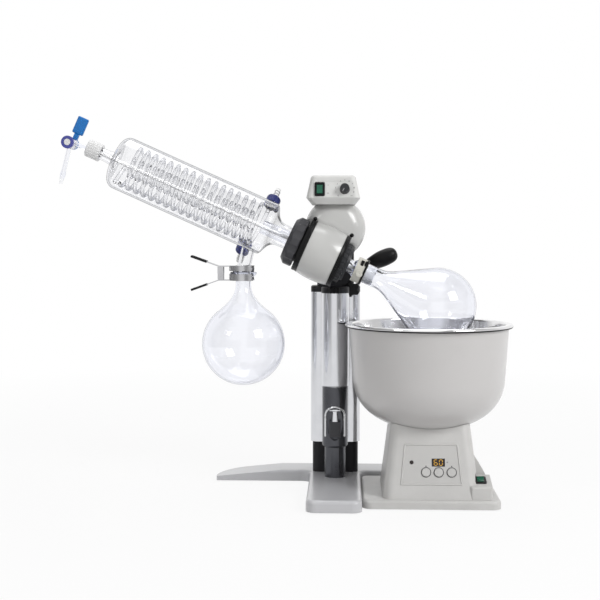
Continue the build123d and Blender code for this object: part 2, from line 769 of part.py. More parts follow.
def handwheel():
    """Scalloped wheel that draws the condenser's flange against the seal."""
    wheel = turned_line(
        (0, WHEEL_LEFT),
        (WHEEL_FACE_R, WHEEL_LEFT),
        (WHEEL_R, WHEEL_LEFT + 7),
        (WHEEL_R, WHEEL_RIGHT - 1.5),
        (WHEEL_R - 1.5, WHEEL_RIGHT),
        (0, WHEEL_RIGHT),
    )
    reach = WHEEL_R + WHEEL_SCALLOP_R - WHEEL_SCALLOP_DEPTH
    for i in range(WHEEL_LOBES):
        turn = Rot(0, 0, i * 360 / WHEEL_LOBES)
        wheel -= turn * Pos(reach, 0, 0) * disc(WHEEL_SCALLOP_R, WHEEL_LEFT - 1, WHEEL_RIGHT + 1)
    wheel -= disc(NECK_R + 1.5, WHEEL_LEFT - 1, WHEEL_RIGHT + 1)
    wheel -= disc(BOSS_R + SEAT, NECK_FLANGE_LEFT - SEAT, WHEEL_RIGHT + 1)
    return HEAD * wheel


def clamp_nut():
    """Ribbed nut on the hub's end."""
    nut = turned_line(
        (VAPOUR_R + PRESS, NUT_RIGHT),
        (NUT_R - 6, NUT_RIGHT),
        (NUT_R - 5, NUT_RIGHT - 4.5),
        (NUT_R, NUT_RIGHT - 5.5),
        (NUT_R, NUT_LEFT + 1),
        (NUT_R - 1, NUT_LEFT),
        (VAPOUR_R + PRESS, NUT_LEFT),
    )
    for i in range(NUT_RIBS):
        turn = Rot(0, 0, i * 360 / NUT_RIBS)
        nut -= turn * Pos(NUT_R + 1, 0, 0) * disc(NUT_RIB_R, NUT_LEFT - 1, NUT_RIGHT - 5.5)
    return HEAD * (nut - disc(HUB_R + PRESS, NUT_LEFT - 1, HUB_RIGHT + PRESS))


# Control box


def box_section(z, width, front, back):
    """Rounded plan section of the control box at one height."""
    return Pos(BOX_X, (front + back) / 2, z) * RectangleRounded(width, back - front, BOX_CORNER_R)


def control_box():
    """Tapered box on the hood, with a leaning front and a tucked-in lower lip."""
    wide = box_section(BOX_WIDE_Z, BOX_WIDE_W, BOX_FRONT_Y, BOX_BACK_Y)
    top = box_section(BOX_TOP_Z, BOX_TOP_W, BOX_FRONT_Y + BOX_RISE, BOX_BACK_Y - 4)
    lip = box_section(BOX_LIP_Z, BOX_LIP_W, BOX_FRONT_Y + 8, BOX_BACK_Y - 4)
    body = loft([wide, top])
    body = fillet(body.edges().group_by(Axis.Z)[-1], BOX_TOP_EDGE_R)
    body += loft([lip, wide])
    body -= hood_solid(PRESS, BOX_BACK_Y + BOX_LIP)
    pocket = RectangleRounded(BOX_PANEL_W + SEAT, BOX_PANEL_H + SEAT, 3)
    body -= PANEL_BOX * Pos(0, 0, -BOX_PANEL_T) * extrude(pocket, 9)
    well = Rectangle(FRAME_W - 2 * FRAME_RIM + 2.4, FRAME_H - 2 * FRAME_RIM + 2.4)
    body -= PANEL_BOX * Pos(ROCKER_X - BOX_X, 0, -FRAME_DEPTH - 2) * extrude(well, FRAME_DEPTH + 2)
    body -= PANEL_BOX * Pos(DIAL_X - BOX_X, 0, 0) * disc(DIAL_SHAFT_R + RUN, -DIAL_SHAFT - 3, 1)
    return body


def control_panel():
    """Front plate of the control box."""
    plate = extrude(RectangleRounded(BOX_PANEL_W, BOX_PANEL_H, 3), BOX_PANEL_T - PRESS)
    well = Rectangle(FRAME_W - 2 * FRAME_RIM + 2.4, FRAME_H - 2 * FRAME_RIM + 2.4)
    plate -= Pos(ROCKER_X - BOX_X, 0, -1) * extrude(well, 9)
    plate -= Pos(DIAL_X - BOX_X, 0, 0) * disc(DIAL_SHAFT_R + RUN, -1, 9)
    return PANEL_BOX * Pos(0, 0, PRESS - BOX_PANEL_T) * plate


def switch_frame(width, height):
    """Snap-in frame of a rocker switch, its rim resting on the surface at Z = 0."""
    inner = Rectangle(width - 2 * FRAME_RIM, height - 2 * FRAME_RIM)
    rim = extrude(RectangleRounded(width, height, 2) - inner, FRAME_PROUD)
    wall = Rectangle(width - 2 * FRAME_RIM + 2, height - 2 * FRAME_RIM + 2)
    body = Pos(0, 0, -FRAME_DEPTH) * extrude(wall, FRAME_DEPTH)
    body -= Pos(0, 0, 2 - FRAME_DEPTH) * extrude(inner, FRAME_DEPTH)
    return rim + body


def rocker(width, height):
    """Rocker with two sloping faces, pressed in on one side."""
    long = height / 2 - FRAME_RIM - 1.2
    profile = Polyline(
        (-long, FRAME_PROUD + 1.6),
        (0, FRAME_PROUD - 0.2),
        (long, FRAME_PROUD + 1.6),
        (long - 0.9, -1.5),
        (0, -ROCKER_REACH + 1),
        (0.9 - long, -1.5),
        close=True,
    )
    half = width / 2 - FRAME_RIM - SEAT
    body = extrude(Plane.YZ * make_face(profile.edges()), half, both=True)
    return Rot(ROCKER_TILT, 0, 0) * body


def speed_knob():
    """Dial knob with a pointer ridge and its shaft."""
    knob = extrude(Circle(DIAL_R), DIAL_HEIGHT, taper=6)
    knob += Pos(0, DIAL_R / 2, DIAL_HEIGHT) * Box(1.6, DIAL_R - 2, 1.6)
    knob = Pos(0, 0, SEAT) * Rot(0, 0, 150) * knob
    knob += disc(DIAL_SHAFT_R, -DIAL_SHAFT, SEAT)
    return PANEL_BOX * Pos(DIAL_X - BOX_X, 0, 0) * knob


# Condenser


def jacket_solid(inset):
    """Condenser body with flared neck, drawn in by a wall."""
    r = JACKET_R - inset
    corner = JACKET_CORNER_R - inset
    left = JACKET_LEFT + inset
    right = JACKET_RIGHT - inset * 0.4
    neck = NECK_R - inset
    outline = [
        Polyline((0, NECK_FLANGE_RIGHT + 1), (0, left), (r - corner, left)),
        RadiusArc((r - corner, left), (r, left + corner), -corner),
        Line((r, left + corner), (r, right)),
        Spline(
            (r, right),
            (r - 7, right + 7),
            (neck + 5, right + 13),
            (neck, NECK_START),
            tangents=((0, 1), (0, 1)),
        ),
        Polyline((neck, NECK_START), (neck, NECK_FLANGE_RIGHT + 1), (0, NECK_FLANGE_RIGHT + 1)),
    ]
    return turned(outline)


def upper_neck(inset):
    """Flared neck at the condenser's upper end that takes the screw cap."""
    neck = CAP_NECK_R - inset
    flare = CAP_NECK_FLARE_R - inset
    left = CAP_LEFT + CAP_WALL + SEAT
    right = JACKET_LEFT + 5
    return turned(
        [
            Polyline((0, right), (0, left), (neck, left), (neck, CAP_RIGHT + 3)),
            Spline((neck, CAP_RIGHT + 3), (flare, JACKET_LEFT + 1), tangents=((0, 1), (1, 0.4))),
            Polyline((flare, JACKET_LEFT + 1), (flare, right), (0, right)),
        ]
    )


def port_place(station, turn):
    """Plane of a hose port, its normal pointing straight out from the axis."""
    a = math.radians(turn)
    outward = (math.cos(a), math.sin(a), 0)
    return HEAD * Plane(origin=(0, 0, station), x_dir=(0, 0, 1), z_dir=outward).location


def ball_tube_place():
    """Plane of the outlet tube, its normal leaning from the ball up to the jacket."""
    lean = math.radians(BALL_TUBE_LEAN)
    return Plane(origin=(BALL_X, HEAD_Y, BALL_Z), z_dir=(math.sin(lean), 0, math.cos(lean)))


def condenser_jacket():
    """Glass jacket with cap neck, flange, two hose ports and the ball of the outlet."""
    outer = jacket_solid(0) + upper_neck(0)
    outer += disc(NECK_FLANGE_R, NECK_FLANGE_LEFT, NECK_FLANGE_RIGHT)
    outer = HEAD * (outer - disc(NECK_FLANGE_R + 1, NECK_FLANGE_RIGHT, NECK_FLANGE_RIGHT + 2))
    for station, turn in PORTS:
        outer += port_place(station, turn) * disc(PORT_R, JACKET_R - 6, PORT_END)
    axis_height = AXIS_Z - BALL_X * math.tan(math.radians(HEAD_SLOPE)) - BALL_Z
    outer += ball_tube_place() * disc(BALL_TUBE_R, 0, axis_height * 0.85)
    ball = Sphere(BALL_R) - Pos(0, 0, BALL_SHOULDER) * Box(60, 60, 60, align=UP)
    outer += Pos(BALL_X, HEAD_Y, BALL_Z) * ball
    inner = HEAD * (jacket_solid(GLASS) + upper_neck(GLASS))
    for station, turn in PORTS:
        inner += port_place(station, turn) * disc(PORT_BORE_R, JACKET_R - 8, PORT_END + 1)
    inner += ball_tube_place() * disc(BALL_TUBE_R - GLASS, -BALL_R - 1, axis_height * 0.9)
    body = outer - inner
    return body - block(BALL_X - 30, BALL_X + 30, HEAD_Y - 30, HEAD_Y + 30, BALL_Z - 30, BALL_BOTTOM)


def helix_tube(radius, pitch, end, turn):
    """Glass tube wound as a helix from the coil's upper end to a station, and its two end points."""
    path = Pos(0, 0, COIL_LEFT) * Rot(0, 0, turn) * Helix(pitch, end - COIL_LEFT, radius)
    tube = sweep(Plane(origin=path @ 0, z_dir=path % 0) * Circle(COIL_TUBE_R), path=path)
    return tube, path @ 0, path @ 1


def bead(point):
    """Round fusion bead at a coil's end."""
    return Pos(point) * Sphere(COIL_TUBE_R + BEAD)


def rod_between(a, b, radius):
    """Round rod between two points."""
    return Plane(origin=a, z_dir=b - a) * extrude(Circle(radius), (b - a).length)


def cooling_coil():
    """Outer and inner winding joined at the upper end, with stubs into both ports."""
    stub_r = COIL_TUBE_R - 0.2
    outer_turns = (PORT_UPPER - COIL_LEFT) / COIL_PITCH
    inner_turns = (PORT_LOWER - COIL_LEFT) / COIL_INNER_PITCH
    outer_turn = PORT_UPPER_TURN - 360 * outer_turns
    inner_turn = PORT_LOWER_TURN - 360 * inner_turns
    outer, outer_far, outer_near = helix_tube(COIL_R, COIL_PITCH, PORT_UPPER, outer_turn)
    inner, inner_far, inner_near = helix_tube(COIL_INNER_R, COIL_INNER_PITCH, PORT_LOWER, inner_turn)
    coil = outer + bead(outer_far) + bead(outer_near)
    coil += inner + bead(inner_far) + bead(inner_near)
    turn = Vector(0, 0, COIL_LEFT - 8)
    out_a = Vector(outer_far.X, outer_far.Y, turn.Z)
    in_a = Vector(inner_far.X, inner_far.Y, turn.Z)
    for a, b in ((outer_far, out_a), (out_a, in_a), (in_a, inner_far)):
        coil += rod_between(a, b, stub_r)
    coil += bead(out_a) + bead(in_a)
    for point, radius in ((outer_near, COIL_R), (inner_near, COIL_INNER_R)):
        reach = (PORT_END - 4) / radius
        coil += rod_between(point, Vector(point.X * reach, point.Y * reach, point.Z), stub_r)
    return HEAD * coil


def feed_tube():
    """Straight tube down the middle of the condenser."""
    return HEAD * ring(FEED_R, FEED_BORE_R, CAP_LEFT + CAP_WALL + FEED_END_GAP, FEED_RIGHT)


def end_cap():
    """Ribbed screw cap on the condenser's upper neck."""
    cap = disc(CAP_R, CAP_LEFT, CAP_RIGHT)
    cap = chamfer(cap.edges().group_by(Axis.Z)[0], 1.5)
    groove = Pos(CAP_R + 0.7, 0, 0) * disc(1.3, CAP_LEFT + 4, CAP_RIGHT + 1)
    for i in range(CAP_RIBS):
        cap -= Rot(0, 0, i * 360 / CAP_RIBS) * groove
    cap -= disc(CAP_NECK_R + SEAT, CAP_LEFT + CAP_WALL, CAP_RIGHT + 1)
    return HEAD * (cap - disc(ARM_R + 1.6, CAP_LEFT - 1, CAP_RIGHT))


def hose_cap(station, turn):
    """Screw cap of one hose port."""
    cap = disc(HOSE_CAP_R, HOSE_CAP_START, HOSE_CAP_END)
    cap = fillet(cap.edges().group_by(Axis.Z)[-1], 2.5)
    groove = Pos(HOSE_CAP_R + 0.7, 0, 0) * disc(1.2, HOSE_CAP_START - 1, HOSE_CAP_END - 3)
    for i in range(CAP_RIBS):
        cap -= Rot(0, 0, i * 360 / CAP_RIBS) * groove
    cap -= disc(PORT_R + SEAT, HOSE_CAP_START - 1, PORT_END + SEAT)
    return port_place(station, turn) * (cap - disc(HOSE_TAIL_R + SEAT, PORT_END, HOSE_CAP_END + 1))


def hose_tail(station, turn):
    """Barbed hose tail held by a screw cap."""
    start = HOSE_CAP_END
    tail = disc(HOSE_TAIL_R, PORT_END + SEAT, start + HOSE_TAIL)
    for i in range(3):
        z = start + 4 + 5 * i
        tail += turned_line((0, z), (HOSE_TAIL_BARB_R, z), (HOSE_TAIL_R, z + 4), (0, z + 4))
    return port_place(station, turn) * (tail - disc(HOSE_TAIL_R - 1.4, PORT_END, start + HOSE_TAIL + 1))


# Stopcock


def arm_end():
    """Point on the head axis where the stopcock's arm ends inside the screw cap."""
    return HEAD.from_local_coords(Vector(0, 0, CAP_LEFT + CAP_WALL))


def stopcock_body():
    """Glass barrel along Y with an arm into the cap and a hose tail below."""
    centre = Vector(COCK_X, HEAD_Y, COCK_Z)
    body = along_y(COCK_X, COCK_Z, HEAD_Y) * disc(BARREL_R, -BARREL_HALF, BARREL_HALF)
    body += rod_between(centre, arm_end(), ARM_R)
    lean = math.radians(TAIL_LEAN)
    place = Plane(origin=centre, z_dir=(-math.sin(lean), 0, -math.cos(lean)))
    mid = TAIL_LENGTH - 22
    tail = disc(TAIL_R, 0, mid)
    tail += turned_line(
        (0, mid), (TAIL_R, mid), (OLIVE_R, mid + 5), (TAIL_END_R, TAIL_LENGTH), (0, TAIL_LENGTH)
    )
    body += place * tail
    body -= place * disc(TAIL_END_R - 1, 0, TAIL_LENGTH + 1)
    return body - along_y(COCK_X, COCK_Z, HEAD_Y) * disc(BARREL_BORE_R, -BARREL_HALF - 1, BARREL_HALF + 1)


def stopcock_plug():
    """White plug through the barrel."""
    plug = disc(BARREL_BORE_R - RUN, -BARREL_HALF - SEAT, BARREL_HALF + SEAT)
    plug += disc(PLUG_FACE_R, -BARREL_HALF - SEAT - COCK_NUT - 0.6, -BARREL_HALF - SEAT)
    return along_y(COCK_X, COCK_Z, HEAD_Y) * plug


def stopcock_nut():
    """Nut on the plug's front end."""
    nut = ring(COCK_NUT_R, PLUG_FACE_R + PRESS, -COCK_NUT, 0)
    nut = fillet(nut.edges().group_by(Axis.Z)[0], 0.8)
    return along_y(COCK_X, COCK_Z, HEAD_Y - BARREL_HALF - SEAT) * nut


def stopcock_handle():
    """Paddle on the plug's back end."""
    hub = disc(BARREL_R, 0, PADDLE_T)
    neck = Pos(0, PADDLE_START / 2, PADDLE_T / 2) * Box(PADDLE_NECK_W, PADDLE_START, PADDLE_T - 2)
    paddle = Pos(0, PADDLE_START + PADDLE_H / 2, PADDLE_T / 2) * Box(PADDLE_W, PADDLE_H, PADDLE_T)
    paddle = fillet(paddle.edges(), 2.2)
    place = Plane(origin=(COCK_X, HEAD_Y + BARREL_HALF + SEAT, COCK_Z), x_dir=(-1, 0, 0), z_dir=(0, 1, 0))
    return place * Rot(0, 0, PADDLE_LEAN) * (hub + neck + paddle)


# Receiving flask and clamp


def receiver_solid(inset):
    """Round flask with a flared shoulder, drawn in by a wall, without its cup."""
    r = FLASK_R - inset
    flare_r = math.sqrt(FLASK_R**2 - (FLASK_FLARE_Z - FLASK_Z) ** 2)
    share = r / FLASK_R
    flare = (flare_r * share, FLASK_Z + (FLASK_FLARE_Z - FLASK_Z) * share)
    slope = (-(FLASK_FLARE_Z - FLASK_Z), flare_r)
    neck = FLASK_NECK_R - inset
    outline = [
        Line((0, CUP_BOTTOM + 3), (0, FLASK_Z - r)),
        ThreePointArc((0, FLASK_Z - r), (r, FLASK_Z), flare),
        Spline(flare, (neck, FLASK_NECK_BOTTOM), tangents=(slope, (0, 1))),
        Polyline((neck, FLASK_NECK_BOTTOM), (neck, CUP_BOTTOM + 3), (0, CUP_BOTTOM + 3)),
    ]
    return turned(outline)


def receiving_flask():
    """Receiving flask whose cup takes the condenser's ball."""
    cup = turned_line(
        (0, CUP_TOP),
        (CUP_R, CUP_TOP),
        (CUP_R, CUP_TOP - 4),
        (FLASK_NECK_R + 2, CUP_BOTTOM - 1),
        (0, CUP_BOTTOM - 4),
    )
    body = receiver_solid(0) + cup - receiver_solid(GLASS)
    body -= Pos(0, 0, BALL_Z) * Sphere(BALL_R + SEAT)
    return Pos(BALL_X, HEAD_Y, 0) * body


def clamp_jaw(fork_z, side, lug_y, slot_r):
    """Bent sheet jaw: fork, lugs on the pin and a handle, above or below the pin."""
    sheet = CLAMP_SHEET
    handle_z = fork_z + side * CLAMP_HANDLE_RISE * 0.55
    knee = CLAMP_PIN_X - 3
    spine = [(CLAMP_TIP_X, fork_z), (knee, fork_z), (CLAMP_HANDLE_X, handle_z)]
    lifted = [(x, z + side * sheet) for x, z in reversed(spine)]
    outline = make_face(Polyline(*spine, *lifted, close=True).edges())
    plate = Plane.XZ.offset(-HEAD_Y) * extrude(outline, CLAMP_FORK_HALF, both=True)
    plan = Pos(BALL_X, HEAD_Y) * Circle(CLAMP_FORK_HALF)
    arm = Rectangle(BALL_X - CLAMP_HANDLE_X, 2 * CLAMP_ARM_HALF)
    plan += Pos((CLAMP_HANDLE_X + BALL_X) / 2, HEAD_Y) * arm
    slot = Pos(BALL_X, HEAD_Y) * Circle(slot_r) + Pos(BALL_X + 20, HEAD_Y) * Rectangle(40, 2 * slot_r)
    plate &= Pos(0, 0, fork_z - 60) * extrude(plan - slot, 120)
    for lug in (-1, 1):
        y = HEAD_Y + lug * lug_y
        eye = Pos(CLAMP_PIN_X, CLAMP_PIN_Z) * Circle(CLAMP_LUG_R)
        leg = Rectangle(2 * CLAMP_LUG_R, abs(fork_z - CLAMP_PIN_Z))
        eye += Pos(CLAMP_PIN_X, (CLAMP_PIN_Z + fork_z) / 2) * leg
        plate += Plane.XZ.offset(-y) * extrude(eye, sheet / 2, both=True)
    return plate


def clamp_pin(radius, half):
    """Pin of the clamp along Y."""
    return along_y(CLAMP_PIN_X, CLAMP_PIN_Z, HEAD_Y) * disc(radius, -half, half)


def clamp_jaws():
    """Upper jaw with its pin, and the lower jaw that turns on it."""
    outer = CLAMP_LUG_IN + CLAMP_SHEET + SEAT
    upper = clamp_jaw(CLAMP_UPPER_Z, 1, outer, BALL_TUBE_R + 2.5)
    upper += clamp_pin(CLAMP_PIN_R, outer + 2)
    lower = clamp_jaw(CLAMP_LOWER_Z, -1, CLAMP_LUG_IN, FLASK_NECK_R + 1)
    return upper, lower - clamp_pin(CLAMP_PIN_R + RUN, outer + 5)


# Rotor glass


def vapour_tube():
    """Glass tube through the hub with a collar and a ground cone for the flask."""
    outer = turned_line(
        (0, VAPOUR_LEFT),
        (VAPOUR_R, VAPOUR_LEFT),
        (VAPOUR_R, VAPOUR_COLLAR_LEFT - 3),
        (VAPOUR_COLLAR_R, VAPOUR_COLLAR_LEFT),
        (VAPOUR_COLLAR_R, VAPOUR_COLLAR_RIGHT),
        (VAPOUR_R + 1, VAPOUR_COLLAR_RIGHT + 2),
        (JOINT_BIG_R, JOINT_LEFT - 1),
        (JOINT_BIG_R, JOINT_LEFT),
        (JOINT_SMALL_R, JOINT_RIGHT),
        (0, JOINT_RIGHT),
    )
    return HEAD * (outer - disc(VAPOUR_R - GLASS, VAPOUR_LEFT - 1, JOINT_RIGHT + 1))


def pear_solid(inset):
    """Pear-shaped flask body on the head axis, drawn in by a wall."""
    r = PEAR_R - inset
    a = math.radians(PEAR_HALF_ANGLE)
    touch = (r * math.cos(a), PEAR_CENTRE - r * math.sin(a))
    rise = 60.0
    low = (touch[0] - rise * math.sin(a), touch[1] - rise * math.cos(a))
    neck = PEAR_NECK_R - inset
    top = JOINT_RIGHT - 2
    half = math.pi / 8 - a / 2
    mid = (r * math.cos(half), PEAR_CENTRE + r * math.sin(half))
    outline = [
        Polyline((0, PEAR_CENTRE + r), (0, top), (neck, top), (neck, PEAR_NECK_END)),
        Spline((neck, PEAR_NECK_END), low, tangents=((0, 1), (math.sin(a), math.cos(a)))),
        Line(low, touch),
        ThreePointArc(touch, mid, (0, PEAR_CENTRE + r)),
    ]
    return turned(outline)


def evaporating_flask():
    """Pear-shaped flask with a ground socket."""
    socket = turned_line(
        (0, JOINT_LEFT),
        (SOCKET_BIG_R, JOINT_LEFT),
        (SOCKET_BIG_R, JOINT_LEFT + SOCKET_RIM),
        (SOCKET_SMALL_R, JOINT_LEFT + SOCKET_RIM),
        (PEAR_NECK_R, JOINT_RIGHT),
        (0, JOINT_RIGHT),
    )
    bore = turned_line(
        (0, JOINT_LEFT - 1),
        (JOINT_BIG_R + PRESS, JOINT_LEFT - 1),
        (JOINT_BIG_R + PRESS, JOINT_LEFT),
        (JOINT_SMALL_R + PRESS, JOINT_RIGHT),
        (0, JOINT_RIGHT),
    )
    return HEAD * (pear_solid(0) + socket - pear_solid(GLASS) - bore)


def joint_clip():
    """Open clip that hooks over the collar and the flask's rim."""
    left = VAPOUR_COLLAR_LEFT + 1
    right = JOINT_LEFT + SOCKET_RIM + CLIP_LIP + SEAT
    clip = ring(CLIP_R, SOCKET_BIG_R + SEAT, left, right)
    clip += ring(CLIP_R, VAPOUR_COLLAR_R + SEAT, left, left + CLIP_LIP)
    clip += ring(CLIP_R, SOCKET_SMALL_R + SEAT, right - CLIP_LIP + PRESS, right)
    clip -= block(0, CLIP_R + 2, -CLIP_OPENING, CLIP_OPENING, left - 1, right + 1)
    return HEAD * Rot(0, 0, -90) * clip


# Heating bath


def bowl_solid(inset, top):
    """Bowl outline drawn in by a wall: tapered side and a deep rounded bottom."""
    base = (BOWL_BASE_R - inset * 0.3, BOWL_BASE_Z + inset)
    outline = [
        Polyline((0, top), (0, BOWL_FLOOR_Z + inset), (BOWL_BASE_R * 0.4, BOWL_FLOOR_Z + inset)),
        Line((BOWL_BASE_R * 0.4, BOWL_FLOOR_Z + inset), base),
        Spline(base, (BOWL_LOW_R - inset, BOWL_LOW_Z), tangents=((1, 0.3), (0.08, 1))),
        Polyline((BOWL_LOW_R - inset, BOWL_LOW_Z), (BOWL_TOP_R - inset, top), (0, top)),
    ]
    return turned(outline)


def bath_bowl():
    """Enamelled outer bowl."""
    top = RIM_Z - 2 * RIM_BEAD - SEAT
    return BATH * (bowl_solid(0, top) - bowl_solid(BOWL_T, top))


def liner_solid(inset):
    """Inside form of the bath, drawn out by the liner's wall."""
    low = LINER_LOW_R + inset
    floor = LINER_FLOOR_Z - inset
    corner = LINER_LOW_Z - LINER_FLOOR_Z
    cut = corner * (1 - math.sin(math.radians(45)))
    outline = [
        Polyline((0, RIM_Z), (0, floor), (low - corner, floor)),
        ThreePointArc((low - corner, floor), (low - cut, floor + cut), (low, floor + corner)),
        Polyline((low, floor + corner), (LINER_TOP_R + inset, RIM_Z), (0, RIM_Z)),
    ]
    return turned(outline)


def bath_liner():
    """Stainless liner with a rolled rim that rests on the bowl."""
    liner = liner_solid(LINER_T) - liner_solid(0)
    rim = ring(RIM_R - RIM_BEAD, LINER_TOP_R, RIM_Z - LINER_T, RIM_Z)
    bead_centre = Pos(0, 0, RIM_Z - RIM_BEAD)
    bead_ring = bead_centre * Torus(RIM_R - RIM_BEAD, RIM_BEAD)
    seat = ring(RIM_R - RIM_BEAD, BOWL_TOP_R - BOWL_T, RIM_Z - 2 * RIM_BEAD, RIM_Z - LINER_T)
    return BATH * (liner + rim + bead_ring + seat)


def bath_heater():
    """Ring heater under the liner's floor."""
    z = LINER_FLOOR_Z - LINER_T - HEATER_TUBE_R - SEAT
    return BATH * Pos(0, 0, z) * Torus(HEATER_R, HEATER_TUBE_R)


def temperature_probe():
    """Probe standing between the bowl's floor and the liner's floor."""
    return BATH * disc(PROBE_R, BOWL_FLOOR_Z + BOWL_T + SEAT, LINER_FLOOR_Z - LINER_T - SEAT)


def bath_pads():
    """Places of the bath's feet."""
    return [(x, y) for x in (SLAB_LEFT + BATH_PAD_INSET, SLAB_RIGHT - BATH_PAD_INSET)
            for y in (SLAB_FRONT_Y + BATH_PAD_INSET, SLAB_BACK_Y - BATH_PAD_INSET)]


def front_y(z):
    """Y of the pedestal's leaning front at one height."""
    return PEDESTAL_FRONT_Y + (z - SLAB_TOP) * PEDESTAL_TAN


def bath_panel_place(x, z):
    """Plane on the pedestal's front at one point, its normal towards the operator."""
    a = math.radians(PEDESTAL_LEAN)
    return Plane(origin=(x, front_y(z), z), x_dir=(1, 0, 0), z_dir=(0, -math.cos(a), math.sin(a)))


def panel_face(margin):
    """Trapezoid of the bath's panel."""
    half = (PANEL_TOP_Z - PANEL_LOW_Z) / math.cos(math.radians(PEDESTAL_LEAN)) / 2 + margin
    low = PANEL_LOW_W / 2 + margin
    top = PANEL_TOP_W / 2 + margin
    outline = Polyline((-low, -half), (low, -half), (top, half), (-top, half), close=True)
    return fillet(make_face(outline.edges()).vertices(), 4)


def pedestal_section(z, inset=0):
    """Rounded plan section of the pedestal at one height, drawn in by a wall."""
    front = front_y(z) + inset
    back = PEDESTAL_BACK_Y - (z - SLAB_TOP) * PEDESTAL_TAN - inset
    share = (z - SLAB_TOP) / (PEDESTAL_TOP_Z - SLAB_TOP)
    width = PEDESTAL_LOW_W + (PEDESTAL_TOP_W - PEDESTAL_LOW_W) * share - 2 * inset
    return Pos(BATH_X, (front + back) / 2, z) * RectangleRounded(width, back - front, PEDESTAL_R - inset)


def bath_housing():
    """Moulded housing: slab, leaning pedestal, flank that sweeps to the right, switch block."""
    outline = RectangleRounded(SLAB_RIGHT - SLAB_LEFT, SLAB_BACK_Y - SLAB_FRONT_Y, SLAB_CORNER_R)
    slab = extrude(outline, SLAB_TOP - SLAB_BOTTOM)
    slab = fillet(slab.edges().group_by(Axis.Z)[-1], 4)
    slab = Pos((SLAB_LEFT + SLAB_RIGHT) / 2, (SLAB_FRONT_Y + SLAB_BACK_Y) / 2, SLAB_BOTTOM) * slab
    body = loft([pedestal_section(SLAB_TOP - 5), pedestal_section(PEDESTAL_TOP_Z)])
    flank_x = BATH_X + PEDESTAL_TOP_W / 2 - 12
    low = SLAB_TOP - 5
    right = SLAB_RIGHT - 6
    flank = make_face(
        [
            Polyline((flank_x, FLANK_TOP), (flank_x, low), (right, low), (right, SLAB_TOP)),
            Spline((right, SLAB_TOP), (flank_x, FLANK_TOP), tangents=((-0.4, 1), (-0.9, 0.6))),
        ]
    )
    flank_depth = FLANK_BACK_Y - PEDESTAL_FRONT_Y - SWITCH_DEPTH
    body += slab + Plane.XZ.offset(-FLANK_BACK_Y) * extrude(flank, flank_depth)
    side = make_face(
        Polyline(
            (PEDESTAL_FRONT_Y, SLAB_TOP - 5),
            (PEDESTAL_FRONT_Y, SWITCH_TOP_FRONT),
            (PEDESTAL_FRONT_Y + SWITCH_DEPTH, SWITCH_TOP_BACK),
            (PEDESTAL_FRONT_Y + SWITCH_DEPTH, SLAB_TOP - 5),
            close=True,
        ).edges()
    )
    switch = Pos(SWITCH_LEFT, 0, 0) * extrude(Plane.YZ * side, SWITCH_RIGHT - SWITCH_LEFT)
    body += fillet(switch.edges().group_by(Axis.Z)[-1] + switch.edges().group_by(Axis.Y)[0], 3)
    body -= BATH * bowl_solid(-SEAT, RIM_Z)
    room = [pedestal_section(z, PEDESTAL_WALL) for z in (SLAB_BOTTOM - 1, PEDESTAL_ROOM_TOP)]
    body -= loft(room)
    panel = bath_panel_place(BATH_X, PANEL_MID_Z)
    body -= panel * Pos(0, 0, -PANEL_T) * extrude(panel_face(SEAT), PANEL_T + 20)
    reach = -PANEL_T - BUTTON_STEM - BUTTON_TRAVEL_ROOM
    for x in BUTTON_X:
        body -= bath_panel_place(x, BUTTON_Z) * disc(BUTTON_STEM_R + RUN, reach, 1)
    body -= bath_panel_place(LAMP_X, DISPLAY_Z) * disc(LAMP_R + PRESS, -PANEL_T - 4, 1)
    well = Rectangle(BATH_FRAME_W - 2 * FRAME_RIM + 2.4, BATH_FRAME_H - 2 * FRAME_RIM + 2.4)
    body -= SWITCH_PLACE * Pos(0, 0, -FRAME_DEPTH - 1) * extrude(well, FRAME_DEPTH + 2)
    relief = Rectangle(BATH_FRAME_W + 2 * SEAT, BATH_FRAME_H + 2 * SEAT)
    body -= SWITCH_PLACE * extrude(relief, FRAME_DEPTH)
    for x, y in bath_pads():
        body -= Pos(x, y, 0) * disc(PAD_R + SEAT, 0, SLAB_BOTTOM + PAD_SINK)
    return body


def bath_panel():
    """Panel plate with windows for the display, the lamp and the buttons."""
    plate = Pos(0, 0, PRESS - PANEL_T) * extrude(panel_face(0), PANEL_T - PRESS)
    plate = bath_panel_place(BATH_X, PANEL_MID_Z) * plate
    window = Pos(0, 0, -9) * extrude(Rectangle(DISPLAY_W, DISPLAY_H), 12)
    plate -= bath_panel_place(DISPLAY_X, DISPLAY_Z) * window
    plate -= bath_panel_place(LAMP_X, DISPLAY_Z) * disc(LAMP_R + PRESS, -9, 3)
    for x in BUTTON_X:
        plate -= bath_panel_place(x, BUTTON_Z) * disc(BUTTON_R + SEAT, -9, 3)
    return plate


def display_window():
    """Window of the temperature display."""
    pane = extrude(Rectangle(DISPLAY_W - 2 * PRESS, DISPLAY_H - 2 * PRESS), PANEL_T - PRESS)
    return bath_panel_place(DISPLAY_X, DISPLAY_Z) * Pos(0, 0, PRESS - PANEL_T) * pane


def status_lamp():
    """Heating lamp."""
    lamp = disc(LAMP_R, -PANEL_T - 3, 0.6)
    return bath_panel_place(LAMP_X, DISPLAY_Z) * fillet(lamp.edges().group_by(Axis.Z)[-1], 0.5)


def bath_button(x):
    """Round push button with its stem."""
    button = disc(BUTTON_R, BUTTON_TRAVEL_ROOM - PANEL_T, BUTTON_PROUD)
    button = fillet(button.edges().group_by(Axis.Z)[-1], 0.8)
    button += disc(BUTTON_STEM_R, -PANEL_T - BUTTON_STEM, BUTTON_TRAVEL_ROOM - PANEL_T)
    return bath_panel_place(x, BUTTON_Z) * button


